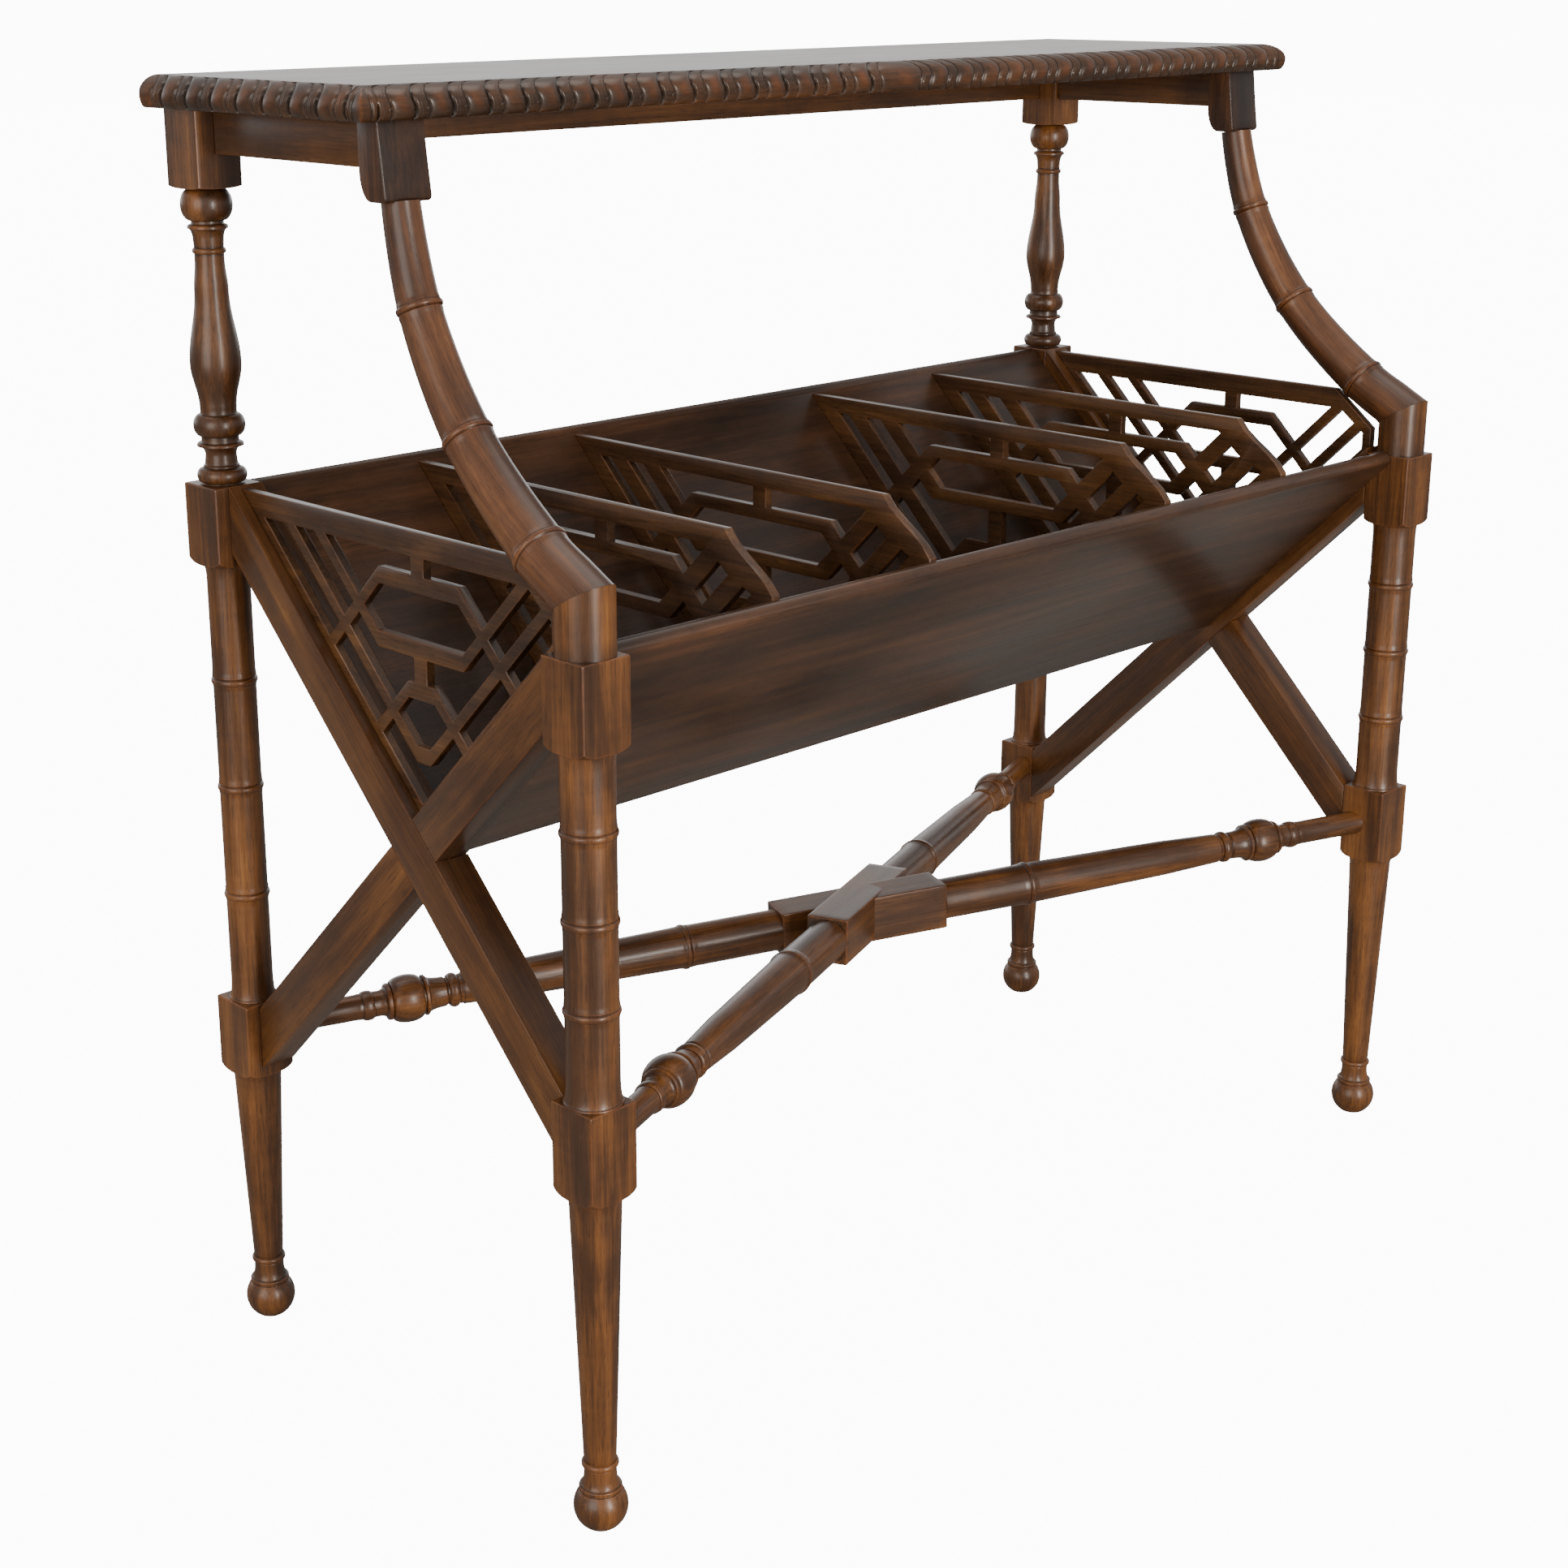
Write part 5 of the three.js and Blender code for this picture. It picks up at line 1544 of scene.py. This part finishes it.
class Finish(Enum):
    """The finishes of the piece, one for each kind of timber work."""

    TURNED = WoodFinish("turned_wood", (38, 22, 11), (82, 50, 24), (132, 83, 38), (178, 121, 60))
    FRAMED = WoodFinish("framed_wood", (42, 24, 11), (84, 51, 23), (116, 74, 34), (154, 102, 48))
    BOARD = WoodFinish("board_wood", (30, 18, 11), (58, 37, 22), (80, 51, 30), (106, 68, 40), streak=0.55)
    BENT = WoodFinish("bent_wood", (32, 18, 10), (68, 41, 23), (108, 67, 36), (154, 102, 58))
    CARVED = WoodFinish("carved_wood", (28, 17, 10), (58, 37, 20), (88, 54, 26), (130, 76, 32), bump=0.12)
    FRET = WoodFinish("fret_wood", (30, 18, 9), (70, 44, 23), (102, 67, 34), (140, 94, 48))
    DOWEL = WoodFinish("dowel_wood", (42, 24, 11), (84, 51, 23), (116, 74, 34), (154, 102, 48), carried=True)


# The studio and the camera


@dataclass(frozen=True)
class Lamp:
    """A soft rectangular light: its place and its width and height in metres, and its power in watts."""

    name: str
    place: Triple
    size: Pair
    power: float
    colour: Triple = (1.0, 0.94, 0.87)
    target: Triple = (0.0, 0.0, 0.5)

    def build(self) -> None:
        """Adds the light, facing the middle of the piece."""
        data = bpy.data.lights.new(self.name, "AREA")
        data.shape, data.size, data.size_y, data.energy = "RECTANGLE", *self.size, self.power
        data.color = self.colour
        light = bpy.data.objects.new(self.name, data)
        light.location = self.place
        light.rotation_euler = (Vector(self.target) - Vector(self.place)).to_track_quat("-Z", "Y").to_euler()
        bpy.context.scene.collection.objects.link(light)


@dataclass(frozen=True)
class Studio:
    """White backdrop, a bright band low behind the piece and three soft lights.

    around and behind are the world's strengths in general and in the band, and backdrop what the camera sees.
    band holds the axis, the slope and the start of each climb that bounds the band.
    """

    floor_size: float = 30.0
    floor_colour: Rgb = (150, 148, 145)
    floor_rough: float = 0.9
    around: float = 0.48
    behind: float = 2.4
    backdrop: float = 12.0
    band: tuple[tuple[int, float, float], ...] = ((1, 3.0, 0.2), (2, -3.4, 1.2), (0, 2.0, 1.1))
    white: tuple[float, float, float, float] = (1.0, 1.0, 1.0, 1.0)
    lamps: tuple[Lamp, ...] = (Lamp("front_light", (-0.6, -3.35, 0.75), (0.4, 2.2), 92.0),
                               Lamp("left_light", (-3.4, -0.9, 1.1), (2.0, 2.2), 46.0),
                               Lamp("top_light", (0.2, 0.4, 3.2), (3.2, 1.8), 30.0))

    def build(self) -> None:
        """Makes the floor, the world and the lights."""
        self.build_floor()
        self.build_world()
        for lamp in self.lamps:
            lamp.build()

    def build_floor(self) -> None:
        """Makes the floor, which the camera sees as part of the white backdrop and other rays as grey."""
        half = self.floor_size / 2
        mesh = bpy.data.meshes.new("floor")
        mesh.from_pydata([(-half, -half, 0), (half, -half, 0), (half, half, 0), (-half, half, 0)], [],
                         [(0, 1, 2, 3)])
        floor = bpy.data.objects.new("floor", mesh)
        bpy.context.scene.collection.objects.link(floor)
        material = bpy.data.materials.new("pale_floor")
        nodes = Nodes(material)
        seen = nodes.add("ShaderNodeLightPath").outputs["Is Camera Ray"]
        shader = nodes.add("ShaderNodeBsdfPrincipled", Base_Color=linear(self.floor_colour),
                           Roughness=self.floor_rough, Emission_Color=self.white,
                           Emission_Strength=nodes.math("MULTIPLY", seen, self.backdrop))
        nodes.add("ShaderNodeOutputMaterial", Surface=shader.outputs[0])
        mesh.materials.append(material)

    def build_world(self) -> None:
        """Makes the world: white for the camera, and for other rays dim with a bright band low at the rear.

        The band is the product of clamp(slope component + start) over the ray's three components.
        """
        world = bpy.data.worlds.new("studio")
        bpy.context.scene.world = world
        nodes = Nodes(world)
        seen = nodes.add("ShaderNodeLightPath").outputs["Is Camera Ray"]
        toward = nodes.add("ShaderNodeSeparateXYZ", Vector=nodes.add("ShaderNodeTexCoord").outputs["Generated"])
        bright, *others = (nodes.scaled(toward.outputs[axis], slope, start, True)
                           for axis, slope, start in self.band)
        for other in others:
            bright = nodes.math("MULTIPLY", bright, other)
        dim = nodes.scaled(bright, self.behind - self.around, self.around)
        strength = nodes.scaled(seen, nodes.math("SUBTRACT", self.backdrop, dim), dim)
        sky = nodes.add("ShaderNodeBackground", Color=self.white, Strength=strength)
        nodes.add("ShaderNodeOutputWorld", Surface=sky.outputs[0])


@dataclass(frozen=True)
class Viewpoint:
    """The photograph's camera: its place in metres, its three directions, and its lens."""

    place: Triple = (-1.3787, -1.27035, 0.9821)
    right: Triple = (0.72334984, -0.69046565, -0.00471123)
    up: Triple = (0.19893484, 0.20186584, 0.95899693)
    ahead: Triple = (0.6612034, 0.6946275, -0.2833773)
    lens: float = 57.82
    sensor: float = 36.0
    shift: Pair = (0.05254, -0.05299)
    clip: Pair = (0.05, 60.0)

    def build(self) -> None:
        """Makes the camera and gives it to the scene."""
        data = bpy.data.cameras.new("photograph")
        data.sensor_fit, data.sensor_width, data.lens = "HORIZONTAL", self.sensor, self.lens
        data.shift_x, data.shift_y = self.shift
        data.clip_start, data.clip_end = self.clip
        camera = bpy.data.objects.new("photograph", data)
        turn = Matrix((self.right, self.up, tuple(-value for value in self.ahead))).transposed()
        camera.matrix_world = Matrix.Translation(self.place) @ turn.to_4x4()
        bpy.context.scene.collection.objects.link(camera)
        bpy.context.scene.camera = camera


# Putting it together


def sawn_pieces() -> list[tuple[EasedPiece, Finish, str]]:
    """Lists the boards, bars, rails, panels and dividers.

    Returns:
        Each piece with its finish and its material slot.
    """
    level, rearward, slope_up, slope_down = (1.0, 0.0, 0.0), (0.0, 1.0, 0.0), (0.0, 1.0, 1.0), (0.0, -1.0, 1.0)
    pieces = [(EasedPiece("rear_rail", level, 31, 1.0), Finish.FRAMED, "framed_wood"),
              (EasedPiece("front_trough_board", level, 33, 0.8), Finish.BOARD, "board_wood"),
              (EasedPiece("rear_trough_board", level, 37, 0.8), Finish.BOARD, "board_wood")]
    kinds = [("end_rail", rearward, 41, 1.0, Finish.FRAMED),
             ("rear_rising_bar", slope_up, 43, 1.2, Finish.FRAMED),
             ("front_rising_bar", slope_down, 47, 1.2, Finish.FRAMED),
             ("end_panel", rearward, 53, 1.1, Finish.FRET),
             ("inner_divider", rearward, 59, 1.1, Finish.FRET),
             ("outer_divider", rearward, 61, 1.1, Finish.FRET)]
    return pieces + [(EasedPiece(f"{side.value}_{kind}", along, seed + index, width), finish, finish.value.name)
                     for index, side in enumerate(Side) for kind, along, seed, width, finish in kinds]


def dress(piece: bpy.types.Object, finish: bpy.types.Material) -> None:
    """Gives a piece its finish and lets it ride on the body.

    Args:
        piece: the piece.
        finish: its material.
    """
    piece.data.materials.clear()
    piece.data.materials.append(finish)
    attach(piece, BODY)
    LOG.info("%s: %d points, %d faces", piece.name, len(piece.data.vertices), len(piece.data.polygons))


def main() -> None:
    """Loads the frame, builds every piece, dresses it and sets up the studio and camera."""
    logging.basicConfig(level=logging.INFO, format="%(name)s: %(message)s")
    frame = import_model()
    Viewpoint().build()
    finishes = {finish: finish.value.material() for finish in Finish}
    for side in Side:
        dress(FrontPost(side).build(), finishes[Finish.TURNED])
        dress(RearPost(side).build(), finishes[Finish.TURNED])
        dress(Arm(side).build(), finishes[Finish.BENT])
    for stretcher in (Stretcher(Side.LEFT, 270.5, 236.4), Stretcher(Side.RIGHT, 271.2, 233.0)):
        dress(stretcher.build(), finishes[Finish.TURNED])
    dress(GadroonTop().build(), finishes[Finish.CARVED])
    for piece, finish, slot in sawn_pieces():
        dress(piece.build(), finishes[finish])
    for name, node in frame["nodes"].items():
        if "dowel" in name:
            node.data.materials.clear()
            node.data.materials.append(finishes[Finish.DOWEL])
    Studio().build()


if __name__ == "__main__":
    main()
